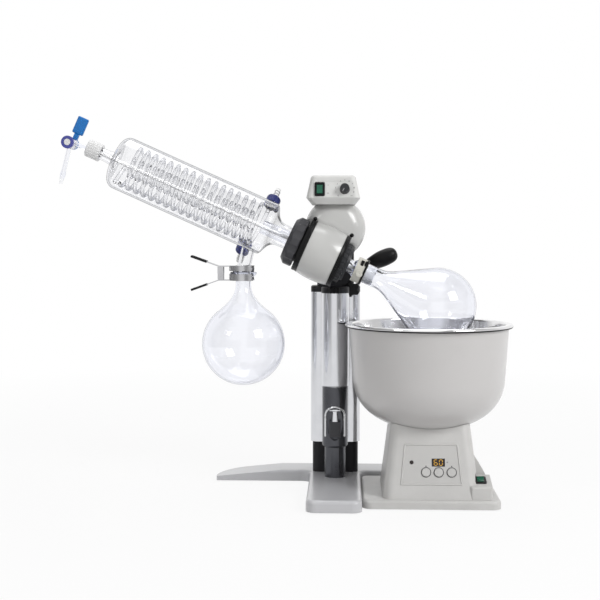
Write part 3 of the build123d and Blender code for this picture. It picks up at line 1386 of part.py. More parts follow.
def bath_feet():
    """Rubber feet sunk into the slab."""
    return Compound([Pos(x, y, 0) * disc(PAD_R, 0, SLAB_BOTTOM + PAD_SINK) for x, y in bath_pads()])


def build():
    """Makes and writes every piece."""
    os.makedirs("parts", exist_ok=True)
    makers = (
        base_casting, base_feet, column_core, guide_tube, gas_spring_tube,
        lift_sleeve, tilt_bracket, glide_bush, gas_spring_rod, handle_housing, pivot_bolt, side_grip,
        release_lever, tilt_knob,
        head_housing, rear_cover, control_box, control_panel, flange_ring, drive_motor, drive_belt,
        hub_bearings, vacuum_seal, condenser_jacket, cooling_coil, feed_tube, end_cap,
        stopcock_body, receiving_flask, handwheel, drive_hub, clamp_nut, vapour_tube, joint_clip,
        evaporating_flask, motor_pulley, speed_knob, stopcock_plug, stopcock_nut, stopcock_handle,
        bath_housing, bath_bowl, bath_liner, bath_heater, temperature_probe, bath_panel,
        display_window, status_lamp, bath_feet,
    )
    for maker in makers:
        save(maker(), maker.__name__)
    save(Compound([hose_cap(station, turn) for station, turn in PORTS]), "hose_caps")
    save(Compound([hose_tail(station, turn) for station, turn in PORTS]), "hose_tails")
    switch = PANEL_BOX * Pos(ROCKER_X - BOX_X, 0, 0)
    save(switch * switch_frame(FRAME_W, FRAME_H), "power_switch_frame")
    save(switch * rocker(FRAME_W, FRAME_H), "power_rocker")
    save(SWITCH_PLACE * switch_frame(BATH_FRAME_W, BATH_FRAME_H), "bath_switch_frame")
    save(SWITCH_PLACE * rocker(BATH_FRAME_W, BATH_FRAME_H), "bath_rocker")
    for name, jaw in zip(("upper", "lower"), clamp_jaws()):
        save(jaw, f"clamp_jaw_{name}")
    for number, x in enumerate(BUTTON_X, 1):
        save(bath_button(x), f"bath_button_{number}")


build()
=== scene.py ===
"""Looks of a bench rotary evaporator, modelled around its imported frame.

Lengths in the classes are millimetres and become metres as a mesh is made.
Stations lie along the drive head's sloping axis, which runs from the condenser to the flask.
"""

import logging
import math
from dataclasses import dataclass
from enum import Enum, IntEnum

import bpy
from mathutils import Matrix, Vector


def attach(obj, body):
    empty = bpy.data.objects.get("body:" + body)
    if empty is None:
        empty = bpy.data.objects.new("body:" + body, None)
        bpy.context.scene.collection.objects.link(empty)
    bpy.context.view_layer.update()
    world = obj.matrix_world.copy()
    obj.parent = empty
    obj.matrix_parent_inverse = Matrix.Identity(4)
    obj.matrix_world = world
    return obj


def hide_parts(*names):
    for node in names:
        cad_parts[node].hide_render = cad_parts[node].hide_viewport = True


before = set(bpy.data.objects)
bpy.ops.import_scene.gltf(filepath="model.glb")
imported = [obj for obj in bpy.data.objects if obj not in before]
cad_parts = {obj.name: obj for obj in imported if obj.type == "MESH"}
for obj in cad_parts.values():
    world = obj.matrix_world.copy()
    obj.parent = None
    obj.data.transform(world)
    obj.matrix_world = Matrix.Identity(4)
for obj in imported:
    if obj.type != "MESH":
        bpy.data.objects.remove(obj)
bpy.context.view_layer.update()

Point = tuple[float, float]
Spot = tuple[float, float, float]
Piece = bpy.types.Object
Tree = bpy.types.NodeTree
Node = bpy.types.Node

MM = 0.001
GLASS_WALL = 2.4
GLASS_EDGE = 0.6  # broken edge of a glass rim
DIGIT_SHARE = 0.7  # height of a digit as a share of the type's size
PRINT_HALF = 0.06  # half the thickness of a printed figure
PRINT_SINK = 0.05  # depth of flat print in its panel
HEAD_SLOPE = math.radians(24.3)
HEAD_ORIGIN = (0.0, -70.0, 372.7)
BATH_CENTRE = (146.0, -85.0, 0.0)
RECEIVER_AXIS = (-144.5, -70.0, 0.0)  # upright axis of the receiving flask and its clamp
BALL_Z = 358.0
MIX_A, MIX_B, MIX_RESULT = 6, 7, 2  # colour sockets of a Mix node

log = logging.getLogger("rotary_evaporator")


class Body(Enum):
    """Moving bodies of the frame that new pieces ride on."""

    LIFT = "lift"
    HEAD = "head"
    ROTOR = "rotor"
    BATH = "bath"
    LEVER = "release_lever"
    KNOB = "speed_knob"
    CLAMP_UPPER = "clamp_upper"
    CLAMP_LOWER = "clamp_lower"


class Steps(IntEnum):
    """Steps of a full turn, from the widest turned pieces to the thinnest."""

    BOWL = 160
    FLASK = 128
    DRUM = 96
    JOINT = 72
    BAND = 64
    BARREL = 48
    PORT = 40
    ARM = 32
    DISC = 28
    PIN = 24
    DOT = 20
    ROD = 16
    WIRE = 14


# Places


def shift(x: float, y: float, z: float) -> Matrix:
    """Gives a move in millimetres as a matrix in metres."""
    return Matrix.Translation((x * MM, y * MM, z * MM))


def basis(x_dir: Spot, y_dir: Spot, z_dir: Spot, origin: Spot) -> Matrix:
    """Builds a placing matrix.

    Args:
        x_dir: Local X direction in the frame.
        y_dir: Local Y direction in the frame.
        z_dir: Local Z direction in the frame.
        origin: Local origin in millimetres.

    Returns:
        The matrix, in metres.
    """
    return shift(*origin) @ Matrix((x_dir, y_dir, z_dir)).transposed().to_4x4()


def head_place() -> Matrix:
    """Gives the head axis: local Z runs to the flask, local X upwards."""
    s, c = math.sin(HEAD_SLOPE), math.cos(HEAD_SLOPE)
    return basis((s, 0, c), (0, -1, 0), (c, 0, -s), HEAD_ORIGIN)


HEAD_PLACE = head_place()


def round_head(radius: float, turn: float, station: float) -> Vector:
    """Gives a point round the head axis.

    Args:
        radius: Millimetres from the axis.
        turn: Angle about it in radians.
        station: Millimetres along it.

    Returns:
        The point in the frame, in metres.
    """
    return HEAD_PLACE @ (Vector((math.cos(turn) * radius, math.sin(turn) * radius, station)) * MM)


def leaning_panel(x: float, y: float, z: float, lean: float) -> Matrix:
    """Gives a place on a front that leans back.

    Args:
        x: Millimetres along X.
        y: Millimetres along Y.
        z: Height in millimetres.
        lean: Lean from the upright, in degrees.

    Returns:
        A matrix whose local Z points out of the front and local Y up along it.
    """
    s, c = math.sin(math.radians(lean)), math.cos(math.radians(lean))
    return basis((1, 0, 0), (0, s, c), (0, -c, s), (x, y, z))


def along(origin: Spot, direction: Spot) -> Matrix:
    """Gives a place whose local Z runs in a direction.

    Args:
        origin: Start in millimetres.
        direction: Direction of local Z.

    Returns:
        The placing matrix.
    """
    return shift(*origin) @ Vector(direction).to_track_quat("Z", "Y").to_matrix().to_4x4()


# Outlines


def arc(centre: Point, radius: float, start: float, end: float, count: int) -> list[Point]:
    """Lists points on an arc.

    Args:
        centre: Centre of the arc.
        radius: Radius of the arc.
        start: First angle in degrees.
        end: Last angle in degrees.
        count: Number of steps.

    Returns:
        The points, both ends included.
    """
    angles = [math.radians(start + (end - start) * i / count) for i in range(count + 1)]
    return [(centre[0] + radius * math.cos(a), centre[1] + radius * math.sin(a)) for a in angles]


def sweep_curve(a: Point, b: Point, c: Point, d: Point, count: int = 14) -> list[Point]:
    """Lists points on a cubic curve.

    Args:
        a: Start.
        b: First handle.
        c: Second handle.
        d: End.
        count: Number of steps.

    Returns:
        The points, both ends included.
    """
    points = []
    for i in range(count + 1):
        t = i / count
        w = ((1 - t) ** 3, 3 * t * (1 - t) ** 2, 3 * t * t * (1 - t), t**3)
        points.append(tuple(sum(k * p[n] for k, p in zip(w, (a, b, c, d))) for n in (0, 1)))
    return points


def ring(inner: float, outer: float, low: float, high: float) -> list[Point]:
    """Lists the closed outline of a plain ring.

    Args:
        inner: Inner radius.
        outer: Outer radius.
        low: Lower face.
        high: Upper face.

    Returns:
        Points of (radius, height).
    """
    return [(inner, low), (outer, low), (outer, high), (inner, high), (inner, low)]


# Modelling


def deselect() -> None:
    """Leaves edit mode and clears the selection."""
    if bpy.context.object and bpy.context.object.mode != "OBJECT":
        bpy.ops.object.mode_set(mode="OBJECT")
    bpy.ops.object.select_all(action="DESELECT")


def pick(piece: Piece) -> None:
    """Selects one piece alone and makes it active.

    Args:
        piece: Piece to work on.
    """
    deselect()
    piece.select_set(True)
    bpy.context.view_layer.objects.active = piece


def edit(piece: Piece) -> None:
    """Opens one piece in edit mode with all of it selected.

    Args:
        piece: Piece to work on.
    """
    pick(piece)
    bpy.ops.object.mode_set(mode="EDIT")
    bpy.ops.mesh.select_all(action="SELECT")


def settle(piece: Piece, place: Matrix) -> None:
    """Puts a piece in its place and applies it to the mesh.

    Args:
        piece: Piece modelled round the local origin.
        place: Placing matrix.
    """
    pick(piece)
    piece.matrix_world = place @ piece.matrix_world
    bpy.ops.object.transform_apply(location=True, rotation=True, scale=True)


def join(name: str, pieces: list[Piece]) -> Piece:
    """Joins pieces into one.

    Args:
        name: Name of the joined piece.
        pieces: Pieces at their places.

    Returns:
        The joined piece.
    """
    pick(pieces[0])
    for piece in pieces:
        piece.select_set(True)
    if len(pieces) > 1:
        bpy.ops.object.join()
    pieces[0].name = name
    pieces[0].data.name = name
    return pieces[0]


def copies(piece: Piece, places: list[Matrix]) -> list[Piece]:
    """Copies a piece that is modelled once, each copy with its own mesh.

    Args:
        piece: Piece modelled round the local origin.
        places: Placing matrices, one for each copy.

    Returns:
        The copies at their places, the piece itself first.
    """
    pieces = [piece]
    while len(pieces) < len(places):
        pick(piece)
        bpy.ops.object.duplicate()
        pieces.append(bpy.context.object)
    for copy, place in zip(pieces, places):
        settle(copy, place)
    return pieces


def smooth(piece: Piece, angle: float = 35) -> Piece:
    """Shades a piece smooth below an edge angle.

    Args:
        piece: Piece to shade.
        angle: Largest smooth edge in degrees.

    Returns:
        The same piece.
    """
    pick(piece)
    bpy.ops.object.shade_smooth_by_angle(angle=math.radians(angle))
    return piece


def cut(piece: Piece, spot: Spot, normal: Spot, fill: bool) -> Piece:
    """Cuts a piece along a plane.

    Args:
        piece: Piece to cut.
        spot: Point on the plane, in metres.
        normal: Side of the plane that falls away.
        fill: Whether the cut is closed.

    Returns:
        The same piece.
    """
    edit(piece)
    bpy.ops.mesh.bisect(plane_co=spot, plane_no=normal, clear_outer=True, use_fill=fill)
    bpy.ops.object.mode_set(mode="OBJECT")
    return piece


def turned(name: str, outline: list[Point], place: Matrix, steps: int) -> Piece:
    """Spins an outline of (radius, height) points about local Z.

    Args:
        name: Name of the piece.
        outline: Points in millimetres, in order; a shell's outline ends where it starts.
        place: Placing matrix.
        steps: Steps of the full turn.

    Returns:
        The turned piece.
    """
    deselect()
    bpy.ops.mesh.primitive_plane_add(size=MM)
    piece = bpy.context.object
    piece.name = name
    edit(piece)
    bpy.ops.mesh.merge(type="CENTER")
    last = (0.0, 0.0)
    for number, point in enumerate(outline):
        step = ((point[0] - last[0]) * MM, 0, (point[1] - last[1]) * MM)
        if number:
            bpy.ops.mesh.extrude_region_move(TRANSFORM_OT_translate={"value": step})
        else:
            bpy.ops.transform.translate(value=step)
        last = point
    bpy.ops.mesh.select_all(action="SELECT")
    bpy.ops.mesh.spin(steps=steps, angle=math.tau, center=(0, 0, 0), axis=(0, 0, 1))
    bpy.ops.mesh.select_all(action="SELECT")
    bpy.ops.mesh.remove_doubles(threshold=1e-6)
    bpy.ops.mesh.normals_make_consistent(inside=False)
    bpy.ops.object.mode_set(mode="OBJECT")
    settle(piece, place)
    return smooth(piece)


def rounded_block(name: str, size: Spot, place: Matrix, radius: float) -> Piece:
    """Makes a block with rounded edges.

    Args:
        name: Name of the piece.
        size: Width, height and depth in millimetres, the depth along local Z from zero up.
        place: Placing matrix.
        radius: Edge radius in millimetres.

    Returns:
        The block.
    """
    deselect()
    bpy.ops.mesh.primitive_cube_add(size=1)
    piece = bpy.context.object
    piece.name = name
    edit(piece)
    bpy.ops.transform.resize(value=tuple(v * MM for v in size))
    bpy.ops.transform.translate(value=(0, 0, size[2] * MM / 2))
    bpy.ops.mesh.bevel(offset=radius * MM, segments=3, affect="EDGES")
    bpy.ops.object.mode_set(mode="OBJECT")
    settle(piece, place)
    return smooth(piece)


def coil(
    name: str, radius: float, tube: float, length: float, pitch: float, place: Matrix
) -> Piece:
    """Winds a round tube into a helix about local Z.

    Args:
        name: Name of the piece.
        radius: Radius of the winding.
        tube: Radius of the tube.
        length: Length along local Z.
        pitch: Rise of one turn.
        place: Placing matrix.

    Returns:
        The wound tube.
    """
    sides, steps_per_turn, widest_smooth = 12, 36, 50
    deselect()
    bpy.ops.mesh.primitive_circle_add(vertices=sides, radius=tube * MM, fill_type="NGON")
    piece = bpy.context.object
    piece.name = name
    edit(piece)
    bpy.ops.mesh.delete(type="ONLY_FACE")
    bpy.ops.mesh.select_all(action="SELECT")
    bpy.ops.transform.rotate(value=math.radians(90), orient_axis="X", center_override=(0, 0, 0))
    bpy.ops.transform.translate(value=(radius * MM, 0, 0))
    bpy.ops.object.mode_set(mode="OBJECT")
    turns = length / pitch
    screw = piece.modifiers.new("winding", "SCREW")
    screw.axis = "Z"
    screw.angle = turns * math.tau
    screw.screw_offset = length * MM
    screw.iterations = 1
    screw.steps = round(turns * steps_per_turn)
    screw.render_steps = screw.steps
    screw.use_smooth_shade = True
    bpy.ops.object.modifier_apply(modifier=screw.name)
    edit(piece)
    bpy.ops.mesh.fill_holes(sides=0)
    bpy.ops.mesh.normals_make_consistent(inside=False)
    bpy.ops.object.mode_set(mode="OBJECT")
    settle(piece, place)
    return smooth(piece, widest_smooth)


def rod(name: str, start: Vector, end: Vector, radius: float, steps: int = Steps.ROD) -> Piece:
    """Makes a round rod with domed ends between two points in metres.

    Args:
        name: Name of the piece.
        start: First end.
        end: Second end.
        radius: Radius in millimetres.
        steps: Steps of the full turn.

    Returns:
        The rod.
    """
    length = (end - start).length / MM
    outline = arc((0, 0), radius, -90, 0, 5) + arc((0, length), radius, 0, 90, 5)
    return turned(name, outline, along(tuple(start / MM), tuple(end - start)), steps)


def label(name: str, words: str, height: float, place: Matrix) -> Piece:
    """Models a small printed figure.

    Args:
        name: Name of the piece.
        words: Figure to print.
        height: Height of a digit in millimetres.
        place: Where its middle sits.

    Returns:
        The figure as a mesh.
    """
    deselect()
    bpy.ops.object.text_add()
    piece = bpy.context.object
    piece.name = name
    piece.data.body = words
    piece.data.size = height * MM / DIGIT_SHARE
    piece.data.extrude = PRINT_HALF * MM
    piece.data.align_x = "CENTER"
    piece.data.align_y = "CENTER"
    bpy.ops.object.convert(target="MESH")
    piece = bpy.context.object
    settle(piece, place)
    return piece


# Finishes


def linear(colour: str) -> tuple[float, float, float, float]:
    """Turns an sRGB hex colour into linear RGBA.

    Args:
        colour: Colour such as "#C8C8C4".

    Returns:
        Linear red, green, blue and alpha.
    """
    parts = [int(colour[i : i + 2], 16) / 255 for i in (1, 3, 5)]
    parts = [p / 12.92 if p <= 0.04045 else ((p + 0.055) / 1.055) ** 2.4 for p in parts]
    return (parts[0], parts[1], parts[2], 1.0)


def per_mm(size: float) -> float:
    """Gives the texture scale of a pattern whose period is a size in millimetres."""
    return 1.0 / (size * MM)


def add_node(tree: Tree, kind: str, settings: dict, links: dict) -> Node:
    """Adds a node to a tree.

    Args:
        tree: Tree of the material.
        kind: Node type.
        settings: Values by property name, or else by the name or number of a socket.
        links: Source sockets by the name or number of an input.

    Returns:
        The new node.
    """
    node = tree.nodes.new(kind)
    for name, value in settings.items():
        if isinstance(name, str) and hasattr(node, name):
            setattr(node, name, value)
        else:
            node.inputs[name].default_value = value
    for name, source in links.items():
        tree.links.new(source, node.inputs[name])
    return node


@dataclass(frozen=True)
class Finish:
    """A surface: its name, its colour and how rough it is."""

    name: str
    colour: str
    roughness: float

    def material(self) -> bpy.types.Material:
        """Makes the material at its first use.

        Returns:
            The material.
        """
        found = bpy.data.materials.get(self.name)
        if found:
            return found
        made = bpy.data.materials.new(self.name)
        made.use_nodes = True
        shader = made.node_tree.nodes["Principled BSDF"]
        shader.inputs["Base Color"].default_value = linear(self.colour)
        shader.inputs["Roughness"].default_value = self.roughness
        self.paint(made.node_tree, shader)
        return made

    def paint(self, tree: Tree, shader: Node) -> None:
        """Adds what the surface shows beyond its colour.

        Args:
            tree: Tree of the material.
            shader: Its surface shader.
        """

    def grain(
        self, tree: Tree, shader: Node, size: float, height: float, stretch: Spot = (1, 1, 1)
    ) -> Node:
        """Adds a fine relief.

        Args:
            tree: Tree of the material.
            shader: Its surface shader.
            size: Period in millimetres.
            height: Depth in millimetres.
            stretch: Scale of the pattern along each axis.

        Returns:
            The bump node.
        """
        place = add_node(tree, "ShaderNodeTexCoord", {}, {})
        turn = add_node(
            tree, "ShaderNodeMapping", {"Scale": stretch}, {"Vector": place.outputs["Object"]}
        )
        noise = add_node(
            tree, "ShaderNodeTexNoise",
            {"Scale": per_mm(size), "Detail": 3.0},
            {"Vector": turn.outputs["Vector"]},
        )
        bump = add_node(
            tree, "ShaderNodeBump",
            {"Strength": 0.5, "Distance": height * MM},
            {"Height": noise.outputs["Fac"]},
        )
        tree.links.new(bump.outputs["Normal"], shader.inputs["Normal"])
        return bump

    def vary(self, tree: Tree, shader: Node, size: float, other: str, spread: float) -> None:
        """Lets colour and roughness drift over the surface.

        Args:
            tree: Tree of the material.
            shader: Its surface shader.
            size: Period in millimetres.
            other: Second colour.
            spread: Change of the roughness.
        """
        place = add_node(tree, "ShaderNodeTexCoord", {}, {})
        noise = add_node(
            tree, "ShaderNodeTexNoise",
            {"Scale": per_mm(size), "Detail": 4.0},
            {"Vector": place.outputs["Object"]},
        )
        tint = add_node(
            tree, "ShaderNodeMix",
            {"data_type": "RGBA", MIX_A: linear(self.colour), MIX_B: linear(other)},
            {"Factor": noise.outputs["Fac"]},
        )
        tree.links.new(tint.outputs[MIX_RESULT], shader.inputs["Base Color"])
        worn = add_node(
            tree, "ShaderNodeMapRange",
            {"To Min": self.roughness - spread, "To Max": self.roughness + spread},
            {"Value": noise.outputs["Fac"]},
        )
        tree.links.new(worn.outputs["Result"], shader.inputs["Roughness"])


@dataclass(frozen=True)
class Enamel(Finish):
    """Stoved enamel on a casting: a soft gloss with a faint orange-peel ripple."""

    other: str = "#C2C2BE"
    peel: float = 1.6
    coat: float = 0.35
    corner: float = 1.0

    def paint(self, tree: Tree, shader: Node) -> None:
        """Adds the ripple, the corners that the coat rounds, a top coat and a slow drift.

        Args:
            tree: Tree of the material.
            shader: Its surface shader.
        """
        shader.inputs["Coat Weight"].default_value = self.coat
        shader.inputs["Coat Roughness"].default_value = 0.12
        ripple = self.grain(tree, shader, self.peel, 0.03)
        rounded = add_node(tree, "ShaderNodeBevel", {"Radius": self.corner * MM}, {})
        tree.links.new(rounded.outputs["Normal"], ripple.inputs["Normal"])
        self.vary(tree, shader, 60, self.other, 0.04)


@dataclass(frozen=True)
class MouldedPlastic(Finish):
    """Moulded ABS or polyamide with the fine spark-eroded grain of its tool."""

    other: str
    grit: float = 0.9
    relief: float = 0.05
    gloss: float = 0.5

    def paint(self, tree: Tree, shader: Node) -> None:
        """Adds the grain, drawn coarser than the real 0.1 mm so that it shows.

        Args:
            tree: Tree of the material.
            shader: Its surface shader.
        """
        shader.inputs["Specular IOR Level"].default_value = self.gloss
        self.grain(tree, shader, self.grit, self.relief)
        self.vary(tree, shader, 35, self.other, 0.05)


@dataclass(frozen=True)
class BrushedMetal(Finish):
    """Drawn, brushed or spun metal: fine lines along one axis break up its mirror."""

    other: str
    lines: Spot = (1.0, 1.0, 0.02)
    period: float = 0.7

    def paint(self, tree: Tree, shader: Node) -> None:
        """Adds the lines, drawn wider than real ones so that they show, and a slow drift.

        Args:
            tree: Tree of the material.
            shader: Its surface shader.
        """
        shader.inputs["Metallic"].default_value = 1.0
        self.grain(tree, shader, self.period, 0.02, self.lines)
        self.vary(tree, shader, 25, self.other, 0.06)


@dataclass(frozen=True)
class ClearGlass(Finish):
    """Clear borosilicate: smooth and drawn; long paths through the wall look darker, and painted
    shade darkens its thin edges.
    """

    tint: str = "#A2B2EA"
    density: float = 26.0
    # Colour of the painted shade on thin edges, where the eye looks along the wall.
    edge: str = "#4A4F62"
    edge_start: float = 0.76
    edge_width: float = 0.20
    bend: float = 1.47

    def paint(self, tree: Tree, shader: Node) -> None:
        """Makes the glass clear, with painted shade on its thin edges, absorption and faint
        drawing waves.

        Args:
            tree: Tree of the material.
            shader: Its surface shader.
        """
        shader.inputs["Transmission Weight"].default_value = 1.0
        shader.inputs["IOR"].default_value = self.bend
        self.grain(tree, shader, 14, 0.05)
        # Painted shade: colour and reflections turn dark where the eye looks along the wall.
        facing = add_node(tree, "ShaderNodeLayerWeight", {"Blend": 0.5}, {})
        rim = add_node(
            tree, "ShaderNodeMapRange",
            {"From Min": self.edge_start, "From Max": self.edge_start + self.edge_width},
            {"Value": facing.outputs["Facing"]},
        )
        shade = add_node(
            tree, "ShaderNodeMix",
            {"data_type": "RGBA", MIX_A: linear(self.colour), MIX_B: linear(self.edge)},
            {"Factor": rim.outputs["Result"]},
        )
        for name in ("Base Color", "Specular Tint"):
            tree.links.new(shade.outputs[MIX_RESULT], shader.inputs[name])
        inside = add_node(
            tree, "ShaderNodeVolumeAbsorption",
            {"Color": linear(self.tint), "Density": self.density}, {},
        )
        tree.links.new(inside.outputs["Volume"], tree.nodes["Material Output"].inputs["Volume"])


@dataclass(frozen=True)
class GroundGlass(Finish):
    """Ground joint: the grinding leaves the glass white and dull."""

    def paint(self, tree: Tree, shader: Node) -> None:
        """Makes the surface half clear with a fine grain.

        Args:
            tree: Tree of the material.
            shader: Its surface shader.
        """
        shader.inputs["Transmission Weight"].default_value = 0.3
        shader.inputs["IOR"].default_value = 1.47
        self.grain(tree, shader, 0.6, 0.06)


@dataclass(frozen=True)
class Glow(Finish):
    """Lit lens or display segment."""

    strength: float

    def paint(self, tree: Tree, shader: Node) -> None:
        """Lets the colour shine and mottles it slightly.

        Args:
            tree: Tree of the material.
            shader: Its surface shader.
        """
        shader.inputs["Emission Color"].default_value = linear(self.colour)
        shader.inputs["Emission Strength"].default_value = self.strength
        self.grain(tree, shader, 1.2, 0.02)


# Stoved enamel on the castings and the spun bowl: pale greys under a soft gloss.
BASE_ENAMEL = Enamel("base_stoved_enamel", "#C4C4C6", 0.30, "#BCBCBF")
HEAD_ENAMEL = Enamel("head_stoved_enamel", "#C2C2C0", 0.20, "#BBBBB9", 2.2, 0.35, 13.0)
BOWL_ENAMEL = Enamel("bowl_stoved_enamel", "#C3C1C0", 0.30, "#BCBAB9", 2.0)
# Moulded housings and printed films: satin, with a grain that spreads the highlights.
BOX_ABS = MouldedPlastic("box_grained_abs", "#D4D4D2", 0.52, "#CACAC8")
BATH_ABS = MouldedPlastic("bath_smooth_abs", "#CECDCB", 0.36, "#BAB9B7", 1.4, 0.03)
FILM = MouldedPlastic("panel_polyester_film", "#C3C2C0", 0.42, "#BCBBB9", 0.7, 0.02)
BOX_FILM = MouldedPlastic("control_polyester_film", "#DCDCDA", 0.42, "#CBCBC9", 0.7, 0.02)
# Dark knobs, rings and rubber: dull, so that they stay dark under the soft boxes.
DARK_ABS = MouldedPlastic("knob_dark_abs", "#303134", 0.45, "#28292C", 0.9, 0.05, 0.3)
CHARCOAL = MouldedPlastic("ring_charcoal_polyamide", "#454548", 0.46, "#38383B", 1.0, 0.06, 0.3)
BLACK = MouldedPlastic("black_polyamide", "#141415", 0.38, "#0E0E0F", 0.9, 0.05, 0.16)
RUBBER = MouldedPlastic("black_rubber", "#232324", 0.75, "#1B1B1C", 0.8, 0.08, 0.2)
COLUMN_PAINT = MouldedPlastic(
    "column_black_paint", "#222225", 0.40, "#1C1C1F", 1.2, 0.02, 0.2
)
# White and coloured fittings of the glass: waxy and evenly coloured.
WHITE = MouldedPlastic("white_ptfe", "#E2E2E2", 0.45, "#D8D8D8", 1.2, 0.04)
NAVY = MouldedPlastic("navy_polypropylene", "#222C72", 0.33, "#1A2460", 1.0, 0.03)
VIOLET = MouldedPlastic("violet_polypropylene", "#464B9A", 0.35, "#3C418B", 1.0, 0.03)
BLUE = MouldedPlastic("blue_polypropylene", "#0A74C2", 0.33, "#0767B0", 1.0, 0.03)
CREAM = MouldedPlastic("cream_acetal", "#CBC9C1", 0.42, "#BDBBB2", 1.0, 0.03)
# Metals: the lines of drawing, brushing or spinning stretch what they mirror.
GUIDE_PAINT = BrushedMetal("guide_dark_anodised", "#58595D", 0.26, "#4B4C50")
SLEEVE = BrushedMetal("sleeve_anodised_aluminium", "#DCDDE0", 0.16, "#D0D1D5")
STEEL = BrushedMetal("brushed_steel", "#C8C8CA", 0.26, "#B4B4B7", (0.02, 1.0, 1.0))
SPUN = BrushedMetal("spun_stainless", "#ECECED", 0.11, "#E0E0E1", (0.05, 0.05, 1.0), 0.9)
CHROME = BrushedMetal("polished_chrome", "#D5D6D8", 0.10, "#CACBCD", (1.0, 1.0, 1.0), 6.0)
# Glass: clear in the middle, with painted shade on colour and reflections where the eye looks
# along the wall.
GLASS = ClearGlass("clear_borosilicate", "#FFFFFF", 0.0)
JACKET_GLASS = ClearGlass(
    "jacket_borosilicate", "#FFFFFF", 0.0, "#A2A8C2", 24.0, "#20232F", 0.66, 0.16
)
# The coil is a thin tube, so it bends light less than a solid rod would.
COIL_GLASS = ClearGlass(
    "coil_borosilicate", "#FFFFFF", 0.02, "#A8AAB4", 12.0, "#6A6C76", 0.34, 0.40, 1.16
)
GROUND = GroundGlass("ground_borosilicate", "#C8CACF", 0.40)
# Lit and dark lenses, and the print on the panels.
GREEN = Glow("green_rocker", "#0A5740", 0.25, 0.06)
DIGIT = Glow("display_segment", "#B58A34", 0.4, 0.45)
LAMP = Glow("dark_lamp_lens", "#1C0D0D", 0.2, 0.02)
WINDOW = MouldedPlastic("display_smoked_acrylic", "#14090A", 0.12, "#180B0B", 3.0, 0.01)
INK = MouldedPlastic("panel_grey_ink", "#4A4B4E", 0.5, "#424346", 0.6, 0.01)
PALE_INK = MouldedPlastic("panel_white_ink", "#B4B4B6", 0.5, "#A9A9AB", 0.6, 0.01)

NODE_FINISHES: dict[Finish, tuple[str, ...]] = {
    BASE_ENAMEL: ("base_casting",),
    RUBBER: ("base_feet", "bath_feet", "drive_belt"),
    COLUMN_PAINT: ("column_core", "tilt_bracket"),
    GUIDE_PAINT: ("guide_tube", "handle_housing"),
    STEEL: (
        "gas_spring_tube", "pivot_bolt", "hub_bearings", "drive_motor", "motor_pulley",
        "drive_hub", "bath_heater", "temperature_probe", "clamp_jaw_upper", "clamp_jaw_lower",
    ),
    CHROME: ("gas_spring_rod",),
    SLEEVE: ("lift_sleeve", "release_lever"),
    BLACK: ("side_grip", "tilt_knob", "power_switch_frame", "bath_switch_frame", "flange_ring"),
    WHITE: (
        "glide_bush", "vacuum_seal", "feed_tube", "end_cap", "hose_tails", "stopcock_plug",
    ),
    HEAD_ENAMEL: ("head_housing", "rear_cover"),
    BOX_ABS: ("control_box",),
    BOX_FILM: ("control_panel",),
    FILM: ("bath_panel", "bath_button_1", "bath_button_2", "bath_button_3"),
    CHARCOAL: ("handwheel",),
    DARK_ABS: ("clamp_nut", "speed_knob"),
    GLASS: ("stopcock_body", "receiving_flask", "vapour_tube", "evaporating_flask"),
    JACKET_GLASS: ("condenser_jacket",),
    COIL_GLASS: ("cooling_coil",),
    NAVY: ("hose_caps",),
    VIOLET: ("stopcock_nut",),
    BLUE: ("stopcock_handle",),
    CREAM: ("joint_clip",),
    GREEN: ("power_rocker", "bath_rocker"),
    BATH_ABS: ("bath_housing",),
    BOWL_ENAMEL: ("bath_bowl",),
    SPUN: ("bath_liner",),
    WINDOW: ("display_window",),
    LAMP: ("status_lamp",),
}


def dress_nodes() -> None:
    """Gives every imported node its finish."""
    for finish, names in NODE_FINISHES.items():
        for name in names:
            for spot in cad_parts[name].material_slots:
                spot.material = finish.material()


def present(piece: Piece, finish: Finish, body: Body, slot: str, *replaced: str) -> None:
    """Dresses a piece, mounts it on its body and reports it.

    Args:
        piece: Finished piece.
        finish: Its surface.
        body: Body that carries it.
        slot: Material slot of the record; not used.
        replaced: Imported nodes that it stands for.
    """
    piece.data.materials.clear()
    piece.data.materials.append(finish.material())
    piece.visible_shadow = not isinstance(finish, (ClearGlass, GroundGlass))
    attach(piece, body.value)
    if replaced:
        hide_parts(*replaced)
    faces = len(piece.data.polygons)
    log.info("%s rides on %s with %d faces", piece.name, body.value, faces)


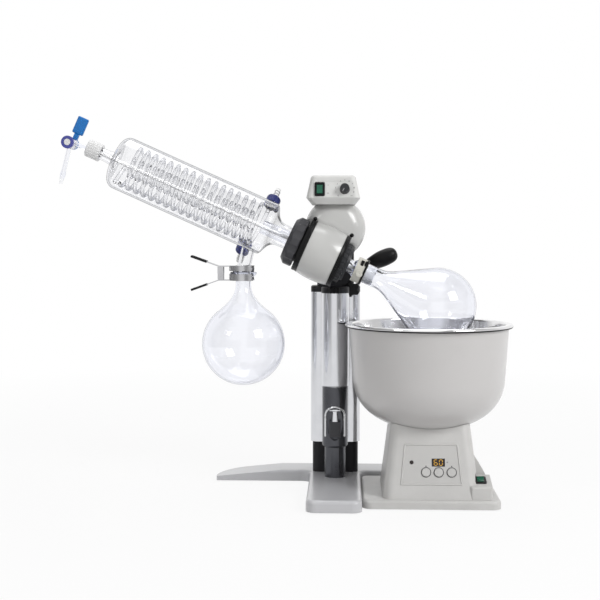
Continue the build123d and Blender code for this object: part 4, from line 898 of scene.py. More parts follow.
@dataclass
class Condenser:
    """Jacket, coils, feed tube, hose ports and the ball of the outlet."""

    radius: float = 42.7
    left: float = -380.0
    right: float = -118.0
    corner: float = 14.0
    neck: float = 18.0
    neck_start: float = -92.0
    shoulder_pull: Point = (10.0, 6.0)
    flange: float = 26.0
    flange_left: float = -66.6
    flange_right: float = -58.4
    cap_neck: float = 9.5
    cap_left: float = -422.7
    cap_right: float = -402.0
    cap_pull: float = 12.0
    cap_flare: float = 16.0
    flare_pull: float = 5.0
    coil_left: float = -356.0
    coil_radius: float = 33.0
    coil_pitch: float = 13.0
    inner_radius: float = 14.0
    inner_pitch: float = 12.0
    coil_tube: float = 3.2
    coil_bend: float = 8.0
    stub_slack: float = 0.2
    stub_inset: float = 4.0
    ports: tuple[Point, Point] = ((-129.0, -38.0), (-141.0, 213.0))
    port_radius: float = 7.0
    port_bore: float = 3.8
    port_end: float = 56.0
    port_sink: float = 1.5
    ball_radius: float = 17.5
    ball_shoulder: float = 3.0
    ball_bottom: float = -13.0
    outlet: float = 10.5
    outlet_lean: float = 13.7
    outlet_lap: float = 1.0
    outlet_reach: float = 70.0
    outlet_sink: float = 1.4
    feed_radius: float = 3.0
    feed_bore: float = 1.8
    feed_left: float = -422.2
    feed_right: float = 40.0
    feed_taper: float = 1.0

    @property
    def ball(self) -> Spot:
        """Gives the centre of the outlet's ball."""
        return (RECEIVER_AXIS[0], RECEIVER_AXIS[1], BALL_Z)

    def side(self, inset: float) -> list[Point]:
        """Lists the jacket's outline from the cap to the flange.

        Args:
            inset: Depth below the outer surface.

        Returns:
            Points of (radius, station).
        """
        r, left = self.radius - inset, self.left + inset
        corner, end = self.corner - inset, self.neck - inset
        neck, flare = self.cap_neck - inset, self.cap_flare - inset
        first, second = self.shoulder_pull
        points = [(neck, self.cap_left)]
        points += sweep_curve(
            (neck, self.cap_right),
            (neck, self.cap_right + self.cap_pull),
            (flare - self.flare_pull, left),
            (flare, left),
        )
        points += arc((r - corner, left + corner), corner, -90, 0, 8)
        points += sweep_curve(
            (r, self.right),
            (r, self.right + first),
            (end, self.right + second),
            (end, self.neck_start),
        )
        return points

    def jacket(self) -> Piece:
        """Models the jacket with its ports and its outlet.

        Returns:
            One glass piece.
        """
        outer, inner = self.side(0), self.side(GLASS_WALL)
        outline = outer + [
            (self.neck, self.flange_left),
            (self.flange, self.flange_left),
            (self.flange, self.flange_right),
            (self.neck - GLASS_WALL, self.flange_right),
        ]
        outline += inner[::-1] + [outer[0]]
        pieces = [turned("condenser_glass", outline, HEAD_PLACE, Steps.FLASK)]
        tube = ring(self.port_bore, self.port_radius, self.radius - self.port_sink, self.port_end)
        outwards = Matrix.Rotation(math.radians(90), 4, "Y")
        places = [
            HEAD_PLACE @ shift(0, 0, station) @ Matrix.Rotation(math.radians(a), 4, "Z") @ outwards
            for station, a in self.ports
        ]
        pieces += copies(turned("port", tube, Matrix.Identity(4), Steps.PORT), places)
        pieces += [self.ball_joint(), self.outlet_tube()]
        return join("condenser_glass", pieces)

    def ball_joint(self) -> Piece:
        """Models the ball of the outlet.

        Returns:
            The ball.
        """
        low = math.degrees(math.asin(self.ball_bottom / self.ball_radius))
        high = math.degrees(math.asin(self.ball_shoulder / self.ball_radius))
        bore = self.outlet - GLASS_WALL
        outline = [(bore, self.ball_bottom)] + arc((0, 0), self.ball_radius, low, high, 12)
        outline += [(bore, self.ball_shoulder), (bore, self.ball_bottom)]
        return turned("ball", outline, shift(*self.ball), Steps.JOINT)

    def outlet_tube(self) -> Piece:
        """Models the tube from the ball to the jacket, cut off along the jacket's underside.

        Returns:
            The tube.
        """
        lean = math.radians(self.outlet_lean)
        start = self.ball_shoulder - self.outlet_lap
        outline = ring(self.outlet - GLASS_WALL, self.outlet, start, self.outlet_reach)
        place = along(self.ball, (math.sin(lean), 0, math.cos(lean)))
        down = -Vector(HEAD_PLACE.col[0][:3])
        touch = HEAD_PLACE.translation + down * (self.radius - self.outlet_sink) * MM
        return cut(turned("outlet", outline, place, Steps.BARREL), touch, -down, False)

    def coils(self) -> Piece:
        """Winds the two coils and joins them at the upper end and to the ports.

        Returns:
            The cooling coil.
        """
        pieces, ends, bends = [], [], []
        windings = (
            (self.coil_radius, self.coil_pitch, self.ports[0]),
            (self.inner_radius, self.inner_pitch, self.ports[1]),
        )
        for radius, pitch, (station, angle) in windings:
            length, out = station - self.coil_left, math.radians(angle)
            turn = out - length / pitch * math.tau
            start = HEAD_PLACE @ shift(0, 0, self.coil_left) @ Matrix.Rotation(turn, 4, "Z")
            pieces.append(coil("winding", radius, self.coil_tube, length, pitch, start))
            near = round_head(radius, out, station)
            tip = round_head(self.port_end - self.stub_inset, out, station)
            pieces.append(rod("stub", near, tip, self.coil_tube - self.stub_slack))
            ends.append(round_head(radius, turn, self.coil_left))
            bends.append(round_head(radius, turn, self.coil_left - self.coil_bend))
        path = [ends[0], *bends, ends[1]]
        pieces += [rod("link", a, b, self.coil_tube) for a, b in zip(path, path[1:])]
        return join("coil_glass", pieces)

    def feed_line(self) -> Piece:
        """Models the straight tube down the middle.

        Returns:
            The tube.
        """
        r, bore = self.feed_radius, self.feed_bore
        left, right = self.feed_left, self.feed_right
        outline = [(bore, left), (r, left), (r, right - self.feed_taper)]
        outline += [(r - GLASS_EDGE, right), (bore, right), (bore, left)]
        return turned("feed_line", outline, HEAD_PLACE, Steps.PIN)

    def build(self) -> None:
        """Models and mounts all pieces."""
        present(self.jacket(), JACKET_GLASS, Body.HEAD, "clear_glass", "condenser_jacket")
        present(self.coils(), COIL_GLASS, Body.HEAD, "clear_glass", "cooling_coil")
        present(self.feed_line(), WHITE, Body.HEAD, "white_plastic", "feed_tube")


@dataclass
class Stopcock:
    """Glass body of the stopcock at the condenser's upper end."""

    centre: Spot = (-417.7, -70.0, 555.9)
    barrel: float = 9.0
    bore: float = 6.0
    half: float = 15.0
    edge: float = 0.5
    lap: float = 1.0
    arm: float = 3.2
    arm_station: float = -423.0
    tail: float = 3.4
    tail_end: float = 2.7
    tail_wall: float = 1.0
    tail_length: float = 66.0
    tail_lean: float = 14.0
    olive: float = 4.4
    olive_length: float = 22.0
    olive_steps: tuple[float, ...] = (3.0, 6.0, 11.0, 13.0, 19.0)

    def barrel_tube(self) -> Piece:
        """Models the barrel, which holds the plug.

        Returns:
            The barrel.
        """
        r, h, e = self.barrel, self.half, self.edge
        outline = [(self.bore, -h), (r - e, -h), (r, e - h), (r, h - e)]
        outline += [(r - e, h), (self.bore, h), (self.bore, -h)]
        return turned("barrel", outline, along(self.centre, (0, 1, 0)), Steps.BARREL)

    def cap_arm(self) -> Piece:
        """Models the arm into the condenser's cap.

        Returns:
            The arm.
        """
        run = HEAD_PLACE @ Vector((0, 0, self.arm_station * MM)) - Vector(self.centre) * MM
        low, reach = self.barrel - self.lap, run.length / MM
        outline = [(0, low), (self.arm, low), (self.arm, reach), (0, reach)]
        return turned("arm", outline, along(self.centre, tuple(run)), Steps.ARM)

    def hose_tail(self) -> Piece:
        """Models the hose tail with its olive.

        Returns:
            The tail.
        """
        lean = math.radians(self.tail_lean)
        low, bore = self.barrel - self.lap, self.tail_end - self.tail_wall
        thick, olive, thin = self.tail, self.olive, self.tail_end
        mid = self.tail_length - self.olive_length
        rise, top, fall, foot, end = (mid + step for step in self.olive_steps)
        outline = [(bore, low), (thick, low), (thick, mid)]
        outline += sweep_curve((thick, mid), (thick, rise), (olive, rise), (olive, top), 6)
        outline += sweep_curve((olive, top), (olive, fall), (thin, foot), (thin, end), 6)
        outline += [(thin, self.tail_length), (bore, self.tail_length), (bore, low)]
        place = along(self.centre, (-math.sin(lean), 0, -math.cos(lean)))
        return turned("tail", outline, place, Steps.ARM)

    def build(self) -> None:
        """Models the body and mounts it."""
        body = join("stopcock_glass", [self.barrel_tube(), self.cap_arm(), self.hose_tail()])
        present(body, GLASS, Body.HEAD, "clear_glass", "stopcock_body")


@dataclass
class Flasks:
    """Receiving flask, vapour tube and evaporating flask."""

    receiver_z: float = 239.6
    receiver_radius: float = 65.5
    receiver_neck: float = 12.0
    flare_z: float = 292.0
    flare_pull: float = 16.0
    neck_z: float = 333.0
    neck_pull: float = 18.0
    cup: float = 20.8
    cup_top: float = 353.0
    cup_low: float = 345.0
    cup_start: float = 5.0
    cup_curve: tuple[Point, ...] = ((0.4, -3.0), (1.0, 0.0), (-1.0, 1.0), (0.0, -3.0))
    seat: float = 17.8
    joint_left: float = 45.0
    joint_right: float = 67.0
    joint_lead: float = 1.0
    joint_big: float = 14.6
    joint_small: float = 13.4
    socket_big: float = 17.8
    socket_small: float = 16.0
    socket_rim: float = 4.0
    pear_centre: float = 177.0
    pear_radius: float = 60.0
    pear_angle: float = 29.5
    pear_cone: float = 60.0
    pear_neck: float = 15.6
    pear_neck_end: float = 72.0
    pear_pull: float = 9.0
    vapour: float = 11.0
    vapour_left: float = -126.0
    collar: float = 13.8
    collar_left: float = 33.0
    collar_right: float = 38.0
    collar_slope: float = 3.0
    collar_foot: Point = (1.0, 2.0)
    fit: float = 0.05
    ground_skin: float = 0.02
    ground_depth: float = 0.4

    def receiver_side(self, inset: float) -> list[Point]:
        """Lists the receiving flask's outline from its bottom to its neck.

        Args:
            inset: Depth below the outer surface.

        Returns:
            Points of (radius, height).
        """
        r, neck = self.receiver_radius - inset, self.receiver_neck - inset
        a = math.asin((self.flare_z - self.receiver_z) / self.receiver_radius)
        points = arc((0, self.receiver_z), r, -90, math.degrees(a), 48)
        x, z = points[-1]
        handle = (x - self.flare_pull * math.sin(a), z + self.flare_pull * math.cos(a))
        low = (neck, self.neck_z - self.neck_pull)
        return points + sweep_curve((x, z), handle, low, (neck, self.neck_z))[1:]

    def receiving_flask(self) -> Piece:
        """Models the receiving flask with its cup.

        Returns:
            The flask.
        """
        neck, cup = self.receiver_neck, self.cup
        low, top = self.cup_low, self.cup_top
        first = -math.degrees(math.asin((BALL_Z - top) / self.seat))
        last = -math.degrees(math.acos((neck - GLASS_WALL) / self.seat))
        corners = ((neck, low), (neck, low), (cup, low), (cup, top))
        curve = [(r + dr, z + dz) for (r, z), (dr, dz) in zip(corners, self.cup_curve)]
        outline = self.receiver_side(0) + [(neck, low - self.cup_start)]
        outline += sweep_curve(*curve, 8)
        outline += [(cup, top - GLASS_EDGE), (cup - GLASS_EDGE, top)]
        outline += arc((0, BALL_Z), self.seat, first, last, 8)
        outline += self.receiver_side(GLASS_WALL)[::-1]
        return turned("receiving_glass", outline, shift(*RECEIVER_AXIS), Steps.FLASK)

    def pear_side(self, inset: float) -> list[Point]:
        """Lists the evaporating flask's outline from its neck to its far end.

        Args:
            inset: Depth below the outer surface.

        Returns:
            Points of (radius, station).
        """
        r, neck = self.pear_radius - inset, self.pear_neck - inset
        s, c = math.sin(math.radians(self.pear_angle)), math.cos(math.radians(self.pear_angle))
        touch = (r * c, self.pear_centre - r * s)
        low = (touch[0] - self.pear_cone * s, touch[1] - self.pear_cone * c)
        handle = (low[0] - self.pear_pull * s, low[1] - self.pear_pull * c)
        start, pull = self.pear_neck_end, self.pear_neck_end + self.pear_pull
        points = sweep_curve((neck, start), (neck, pull), handle, low, 8)
        return points + arc((0, self.pear_centre), r, -self.pear_angle, 90, 48)

    def evaporating_flask(self) -> Piece:
        """Models the pear-shaped flask with its socket.

        Returns:
            The flask.
        """
        left, rim = self.joint_left, self.joint_left + self.socket_rim
        outline = [
            (self.joint_big + self.fit, left),
            (self.socket_big - GLASS_EDGE, left),
            (self.socket_big, left + GLASS_EDGE),
            (self.socket_big, rim - GLASS_EDGE),
            (self.socket_big - GLASS_EDGE, rim),
            (self.socket_small, rim),
            (self.pear_neck, self.joint_right),
        ]
        outline += self.pear_side(0) + self.pear_side(GLASS_WALL)[::-1]
        outline += [(self.joint_small + self.fit, self.joint_right), outline[0]]
        return turned("evaporating_glass", outline, HEAD_PLACE, Steps.FLASK)

    def vapour_tube(self) -> Piece:
        """Models the tube through the hub.

        Returns:
            The tube.
        """
        bore = self.vapour - GLASS_WALL
        out, on = self.collar_foot
        outline = [
            (bore, self.vapour_left),
            (self.vapour, self.vapour_left),
            (self.vapour, self.collar_left - self.collar_slope),
            (self.collar, self.collar_left),
            (self.collar, self.collar_right),
            (self.vapour + out, self.collar_right + on),
            (self.joint_big, self.joint_left - self.joint_lead),
            (self.joint_big, self.joint_left),
            (self.joint_small, self.joint_right),
            (bore, self.joint_right),
            (bore, self.vapour_left),
        ]
        return turned("vapour_glass", outline, HEAD_PLACE, Steps.JOINT)

    def ground_band(self) -> Piece:
        """Models the dull ground band on the cone, which shows through the socket.

        Returns:
            The band.
        """
        left, right = self.joint_left + self.joint_lead, self.joint_right - self.joint_lead
        outline = [
            (self.joint_big + self.ground_skin, left),
            (self.joint_small + self.ground_skin, right),
            (self.joint_small - self.ground_depth, right),
            (self.joint_big - self.ground_depth, left),
        ]
        return turned("ground_band", outline + [outline[0]], HEAD_PLACE, Steps.JOINT)

    def build(self) -> None:
        """Models and mounts all pieces."""
        present(self.receiving_flask(), GLASS, Body.HEAD, "clear_glass", "receiving_flask")
        present(self.evaporating_flask(), GLASS, Body.ROTOR, "clear_glass", "evaporating_flask")
        present(self.vapour_tube(), GLASS, Body.ROTOR, "clear_glass", "vapour_tube")
        present(self.ground_band(), GROUND, Body.ROTOR, "clear_glass")


@dataclass
class Bath:
    """Heating bath: bowl, liner, panel print and display."""

    bowl_wall: float = 2.0
    bowl_top: float = 123.5
    bowl_low: float = 118.0
    bowl_low_z: float = 186.0
    bowl_low_pull: Point = (-2.5, -34.0)
    bowl_base: float = 55.0
    bowl_base_z: float = 116.0
    bowl_base_pull: Point = (38.0, 11.0)
    bowl_base_lean: float = 0.3
    bowl_floor_z: float = 110.0
    bowl_floor_share: float = 0.4
    bowl_gap: float = 0.3
    rim_z: float = 274.0
    rim: float = 130.0
    bead: float = 3.0
    # Thin black skin on the bead's lower half: a painted dark reflection.
    strip: float = 0.14
    strip_turn: Point = (-12.0, -84.0)
    liner_wall: float = 1.2
    liner_top: float = 120.0
    liner_low: float = 114.0
    liner_low_z: float = 186.0
    liner_floor: float = 141.0
    lip_start: Point = (-1.2, -3.0)
    lip_curve: tuple[Point, ...] = ((-1.0, -2.0), (-0.6, 0.0), (0.0, 0.0), (2.0, 0.0))
    lip_step: float = 1.0
    panel_lean: float = 13.0
    front: float = -170.0
    front_z: float = 15.0
    display: Point = (156.5, 69.0)
    digit: Point = (4.6, 8.2)
    digit_shift: float = 3.9
    segment: float = 1.15
    segment_depth: float = 0.25
    segment_edge: float = 0.1
    buttons: tuple[float, ...] = (138.0, 157.0, 176.5)
    button_z: float = 54.7
    button: float = 6.4
    collar: Point = (0.45, 1.3)
    collar_height: float = 0.45
    collar_edge: float = 0.2
    collar_sink: float = 0.02
    tick: Spot = (1.6, 1.8, 0.12)
    tick_rise: float = 9.0
    tick_edge: float = 0.04
    degree: Point = (0.5, 1.0)
    degree_spot: Point = (13.5, 0.5)
    panel_z: Point = (37.0, 95.0)
    panel_half: Point = (45.4, 39.4)
    edge: float = 1.3
    back_y: float = -12.0
    # Vent slots are flat black plates: painted shade of the openings.
    vent: Spot = (60.0, 2.4, 0.5)
    vent_z: float = 62.0
    vent_pitch: float = 5.5
    vent_count: int = 6
    vent_sink: float = 0.2
    vent_edge: float = 0.15
    inlet: Spot = (27.0, 20.0, 2.5)
    inlet_x: float = 120.0
    inlet_z: float = 38.0
    inlet_sink: float = 0.5
    inlet_edge: float = 1.0

    def panel(self, x: float, z: float, out: float = 0.0) -> Matrix:
        """Gives a place on the panel.

        Args:
            x: Millimetres along X.
            z: Height in millimetres.
            out: Distance in front of the panel.

        Returns:
            The placing matrix.
        """
        y = self.front + (z - self.front_z) * math.tan(math.radians(self.panel_lean))
        return leaning_panel(x, y, z, self.panel_lean) @ shift(0, 0, out)

    def back(self, x: float, z: float, out: float) -> Matrix:
        """Gives a place on the pedestal's leaning back.

        Args:
            x: Millimetres along X.
            z: Height in millimetres.
            out: Distance behind the back.

        Returns:
            The placing matrix.
        """
        lean = math.radians(self.panel_lean)
        s, c = math.sin(lean), math.cos(lean)
        y = self.back_y - (z - self.front_z) * math.tan(lean)
        return basis((-1, 0, 0), (0, -s, c), (0, c, s), (x, y, z)) @ shift(0, 0, out)

    def bowl_side(self, inset: float) -> list[Point]:
        """Lists the bowl's outline from its floor to its rim.

        Args:
            inset: Depth below the outer surface.

        Returns:
            Points of (radius, height).
        """
        base = (self.bowl_base - inset * self.bowl_base_lean, self.bowl_base_z + inset)
        low = (self.bowl_low - inset, self.bowl_low_z)
        first, second = (
            (spot[0] + pull[0], spot[1] + pull[1])
            for spot, pull in ((base, self.bowl_base_pull), (low, self.bowl_low_pull))
        )
        floor = self.bowl_floor_z + inset
        points = [(0, floor), (self.bowl_base * self.bowl_floor_share, floor)]
        points += sweep_curve(base, first, second, low, 28)
        return points + [(self.bowl_top - inset, self.rim_z - 2 * self.bead - self.bowl_gap)]

    def bowl(self) -> Piece:
        """Models the enamelled bowl.

        Returns:
            The bowl.
        """
        outline = self.bowl_side(0) + self.bowl_side(self.bowl_wall)[::-1]
        return turned("bowl_shell", outline, shift(*BATH_CENTRE), Steps.BOWL)

    def liner(self) -> Piece:
        """Models the stainless liner with its rolled rim.

        Returns:
            The liner.
        """
        top, rim, wall = self.liner_top, self.rim_z, self.liner_wall
        corner = self.liner_low_z - self.liner_floor
        centre = (self.liner_low - corner, self.liner_low_z)
        inside = [(0, self.liner_floor)] + arc(centre, corner, -90, 0, 20)
        inside += [(top + self.lip_start[0], rim + self.lip_start[1])]
        inside += sweep_curve(*((top + r, rim + z) for r, z in self.lip_curve), 6)
        roll = arc((self.rim - self.bead, rim - self.bead), self.bead, 90, -90, 14)
        under = rim - 2 * self.bead
        outside = [(self.bowl_top - self.bowl_wall, under), (top + wall, under - self.lip_step)]
        outside += arc(centre, corner + wall, 0, -90, 20) + [(0, self.liner_floor - wall)]
        return turned("liner_shell", inside + roll + outside, shift(*BATH_CENTRE), Steps.BOWL)

    def rim_strip(self) -> Piece:
        """Models a painted dark reflection: a thin black skin on the lower half of the rim's bead.

        Returns:
            The painted dark reflection.
        """
        centre = (self.rim - self.bead, self.rim_z - self.bead)
        start, end = self.strip_turn
        outline = arc(centre, self.bead + self.strip, start, end, 8)
        outline += arc(centre, self.bead - self.strip, end, start, 8)
        return turned("rim_strip", outline + [outline[0]], shift(*BATH_CENTRE), Steps.BOWL)

    def digits(self) -> Piece:
        """Models the lit segments of a two-digit reading.

        Returns:
            The segments.
        """
        (w, h), t = self.digit, self.segment
        bars = {
            "a": (0, h / 2, w - t, t),
            "b": (w / 2, h / 4, t, h / 2 - t),
            "c": (w / 2, -h / 4, t, h / 2 - t),
            "d": (0, -h / 2, w - t, t),
            "e": (-w / 2, -h / 4, t, h / 2 - t),
            "f": (-w / 2, h / 4, t, h / 2 - t),
            "g": (0, 0, w - t, t),
        }
        pieces = []
        for side, lit in ((-self.digit_shift, "acdefg"), (self.digit_shift, "abcdef")):
            for x, y, wide, high in (bars[name] for name in lit):
                place = self.panel(*self.display) @ shift(x + side, y, -PRINT_SINK)
                size = (wide, high, self.segment_depth)
                pieces.append(rounded_block("segment", size, place, self.segment_edge))
        return join("display_segments", pieces)

    def print_marks(self) -> Piece:
        """Models the small tick over each button and the degree mark beside the display.

        Returns:
            The print.
        """
        tick = rounded_block("button_tick", self.tick, Matrix.Identity(4), self.tick_edge)
        rise = shift(0, self.tick_rise, -PRINT_SINK)
        pieces = copies(tick, [self.panel(x, self.button_z) @ rise for x in self.buttons])
        place = self.panel(*self.display) @ shift(*self.degree_spot, -PRINT_SINK)
        outline = ring(*self.degree, 0, self.tick[2])
        return join("bath_print", pieces + [turned("degree", outline, place, Steps.DOT)])

    def panel_edge(self) -> Piece:
        """Models the raised edge round the panel.

        Returns:
            The edge.
        """
        x = BATH_CENTRE[0]
        (low, high), (wide, narrow) = self.panel_z, self.panel_half
        path = [(x - wide, low), (x - narrow, high), (x + narrow, high), (x + wide, low)]
        spots = [self.panel(*spot).translation for spot in path + path[:1]]
        edges = [rod("edge", a, b, self.edge) for a, b in zip(spots, spots[1:])]
        return join("panel_edge", edges)

    def vents(self) -> Piece:
        """Models the vent slots as black plates of painted shade, and the mains inlet, on the
        pedestal's back.

        Returns:
            The painted slot shade and the inlet.
        """
        slot = rounded_block("vent", self.vent, Matrix.Identity(4), self.vent_edge)
        heights = [self.vent_z + number * self.vent_pitch for number in range(self.vent_count)]
        pieces = copies(slot, [self.back(BATH_CENTRE[0], z, -self.vent_sink) for z in heights])
        place = self.back(self.inlet_x, self.inlet_z, -self.inlet_sink)
        pieces.append(rounded_block("inlet", self.inlet, place, self.inlet_edge))
        return join("bath_vent_shade_and_inlet", pieces)

    def collars(self) -> Piece:
        """Models the thin collars round the buttons.

        Returns:
            The collars.
        """
        inner, outer = (self.button + gap for gap in self.collar)
        edge, top = self.collar_edge, self.collar_height
        outline = [(inner, 0), (outer, 0), (outer - edge, top), (inner + edge, top), (inner, 0)]
        collar = turned("collar", outline, Matrix.Identity(4), Steps.PORT)
        places = [self.panel(x, self.button_z, -self.collar_sink) for x in self.buttons]
        return join("button_collars", copies(collar, places))

    def build(self) -> None:
        """Models and mounts all pieces."""
        present(self.bowl(), BOWL_ENAMEL, Body.BATH, "bowl_enamel", "bath_bowl")
        present(self.liner(), SPUN, Body.BATH, "stainless", "bath_liner")
        # Painted dark reflection on the lower half of the bead.
        present(self.rim_strip(), BLACK, Body.BATH, "black_plastic")
        present(self.digits(), DIGIT, Body.BATH, "lamp_red")
        present(self.print_marks(), INK, Body.BATH, "display_dark")
        present(self.collars(), INK, Body.BATH, "display_dark")
        present(self.panel_edge(), BATH_ABS, Body.BATH, "bath_plastic")
        # Painted shade: black plates stand for the vent openings; the inlet is black plastic.
        present(self.vents(), BLACK, Body.BATH, "black_plastic")


@dataclass
class ControlBox:
    """Print and marks on the control box."""

    centre: Spot = (-3.0, -83.24, 482.0)
    lean: float = 12.0
    dial: float = 15.0
    dial_sweep: float = 270.0
    rocker: float = -24.0
    figures: int = 11
    figure: float = 2.4
    reach: float = 14.6
    mark_gap: float = 13.0
    mark_rise: float = 6.5
    pointer: Spot = (0.9, 5.0, 0.3)
    pointer_edge: float = 0.1
    pointer_turn: float = 150.0
    pointer_reach: float = 4.0
    pointer_out: float = 12.05

    def place(self, x: float, y: float, out: float = 0.0) -> Matrix:
        """Gives a place on the box's front.

        Args:
            x: Millimetres along X in the frame.
            y: Millimetres up the front from its middle.
            out: Distance in front of it.

        Returns:
            The placing matrix.
        """
        return leaning_panel(*self.centre, self.lean) @ shift(x - self.centre[0], y, out)

    def dial_marks(self) -> Piece:
        """Models the dial's numbers and the on and off marks beside the switch.

        Returns:
            The print.
        """
        pieces = []
        for number in range(self.figures):
            turn = math.radians(self.dial_sweep * (0.5 - number / (self.figures - 1)))
            x, y = -self.reach * math.sin(turn), self.reach * math.cos(turn)
            spot = self.place(self.dial + x, y)
            pieces.append(label("dial_figure", str(number), self.figure, spot))
        for words, rise in (("I", self.mark_rise), ("O", -self.mark_rise)):
            spot = self.place(self.rocker + self.mark_gap, rise)
            pieces.append(label("switch_mark", words, self.figure, spot))
        return join("box_print", pieces)

    def pointer_line(self) -> Piece:
        """Models the white line on the knob's pointer.

        Returns:
            The line.
        """
        turn = Matrix.Rotation(math.radians(self.pointer_turn), 4, "Z")
        spot = self.place(self.dial, 0, self.pointer_out) @ turn @ shift(0, self.pointer_reach, 0)
        return rounded_block("knob_line", self.pointer, spot, self.pointer_edge)

    def build(self) -> None:
        """Models and mounts the print."""
        present(self.dial_marks(), INK, Body.HEAD, "black_plastic")
        present(self.pointer_line(), PALE_INK, Body.KNOB, "white_plastic")


@dataclass
class DriveHead:
    """Trim and screw bosses on the drum, band of the joint clip and screws of the rear cover."""

    trim: Point = (33.2, 42.6)
    trim_left: float = 7.05
    trim_right: float = 10.0
    trim_edge: float = 0.8
    bands: tuple[tuple[Point, Point], ...] = (
        ((-53.0, 41.9), (-48.6, 43.1)),
        ((2.4, 43.25), (7.0, 41.9)),
    )
    band_depth: float = 1.2
    boss: float = 3.2
    boss_up: float = 45.2
    boss_out: Point = (-14.0, -3.0)
    boss_stations: Point = (-54.8, 8.4)
    spring: Point = (20.05, 20.8)
    spring_left: float = 47.5
    spring_right: float = 51.0
    tongue: Spot = (11.0, 4.0, 5.0)
    tongue_edge: float = 0.8
    tongues: tuple[Spot, ...] = ((11.5, 16.2, 39.0), (12.5, 15.6, 45.2))
    wheel: float = 5.6
    wheel_out: Point = (17.0, 20.9)
    wheel_edge: float = 0.7
    wheel_dimple: Point = (1.6, 1.2)
    wheel_up: float = -4.5
    wheel_station: float = 43.0
    cover_y: float = 8.0
    cover_z: float = 422.0
    screw_reach: float = 38.5
    screw: float = 3.2
    screw_half: float = 0.5
    screw_dome: tuple[Point, ...] = ((2.6, 1.3), (1.6, 1.6), (1.4, 1.6))
    screw_recess: Point = (1.2, 0.6)
    screw_turns: tuple[float, ...] = (0.0, 60.0, 120.0, 180.0)

    def trim_ring(self) -> Piece:
        """Models the dark ring at the drum's flask end, both end bands and both bosses.

        Returns:
            The trim.
        """
        inner, outer = self.trim
        left, right, edge = self.trim_left, self.trim_right, self.trim_edge
        outline = [(inner, left), (outer, left), (outer, right - edge), (outer - edge, right)]
        outline += [(inner, right), (inner, left)]
        pieces = [turned("trim_ring", outline, HEAD_PLACE, Steps.DRUM)]
        for (start, low), (end, high) in self.bands:
            inner = min(low, high) - self.band_depth
            outline = [(inner, start), (low, start), (high, end), (inner, end), (inner, start)]
            pieces.append(turned("end_band", outline, HEAD_PLACE, Steps.DRUM))
        for station in self.boss_stations:
            ends = [HEAD_PLACE @ (Vector((self.boss_up, y, station)) * MM) for y in self.boss_out]
            pieces.append(rod("boss", *ends, self.boss, Steps.PIN))
        return join("drum_trim", pieces)

    def clip_band(self) -> Piece:
        """Models the joint clip's spring band and its two tongues.

        Returns:
            The band with the tongues.
        """
        outline = ring(*self.spring, self.spring_left, self.spring_right)
        band = turned("spring_band", outline, HEAD_PLACE, Steps.BAND)
        tongue = rounded_block("clip_tongue", self.tongue, Matrix.Identity(4), self.tongue_edge)
        places = [HEAD_PLACE @ shift(*spot) for spot in self.tongues]
        return join("clip_band", [band, *copies(tongue, places)])

    def clip_screw(self) -> Piece:
        """Models the flat head of the clip's screw.

        Returns:
            The head.
        """
        (low, high), r, edge = self.wheel_out, self.wheel, self.wheel_edge
        wide, narrow = self.wheel_dimple
        outline = [(0, low), (r, low), (r, high - edge), (r - edge, high), (wide, high)]
        outline += [(narrow, high - edge), (0, high - edge)]
        spot = HEAD_PLACE @ shift(self.wheel_up, 0, self.wheel_station)
        turn = Matrix.Rotation(math.radians(-90), 4, "X")
        return turned("clip_screw", outline, spot @ turn, Steps.DISC)

    def cover_screws(self) -> Piece:
        """Models the domed screw heads on the rear cover.

        Returns:
            The screw heads.
        """
        r, half = self.screw, self.screw_half
        outline = [(0, -half), (r, -half), *sweep_curve((r, half), *self.screw_dome, 5)]
        outline += [self.screw_recess, (0, self.screw_recess[1])]
        places = []
        for turn in (math.radians(angle) for angle in self.screw_turns):
            x, z = self.screw_reach * math.cos(turn), self.screw_reach * math.sin(turn)
            places.append(along((x, self.cover_y, self.cover_z + z), (0, 1, 0)))
        screw = turned("screw", outline, Matrix.Identity(4), Steps.PIN)
        return join("cover_screws", copies(screw, places))

    def build(self) -> None:
        """Models and mounts all pieces."""
        present(self.trim_ring(), BLACK, Body.HEAD, "black_plastic")
        present(self.clip_band(), BLACK, Body.ROTOR, "black_plastic")
        present(self.clip_screw(), CREAM, Body.ROTOR, "clip_plastic")
        present(self.cover_screws(), STEEL, Body.HEAD, "spring_steel")


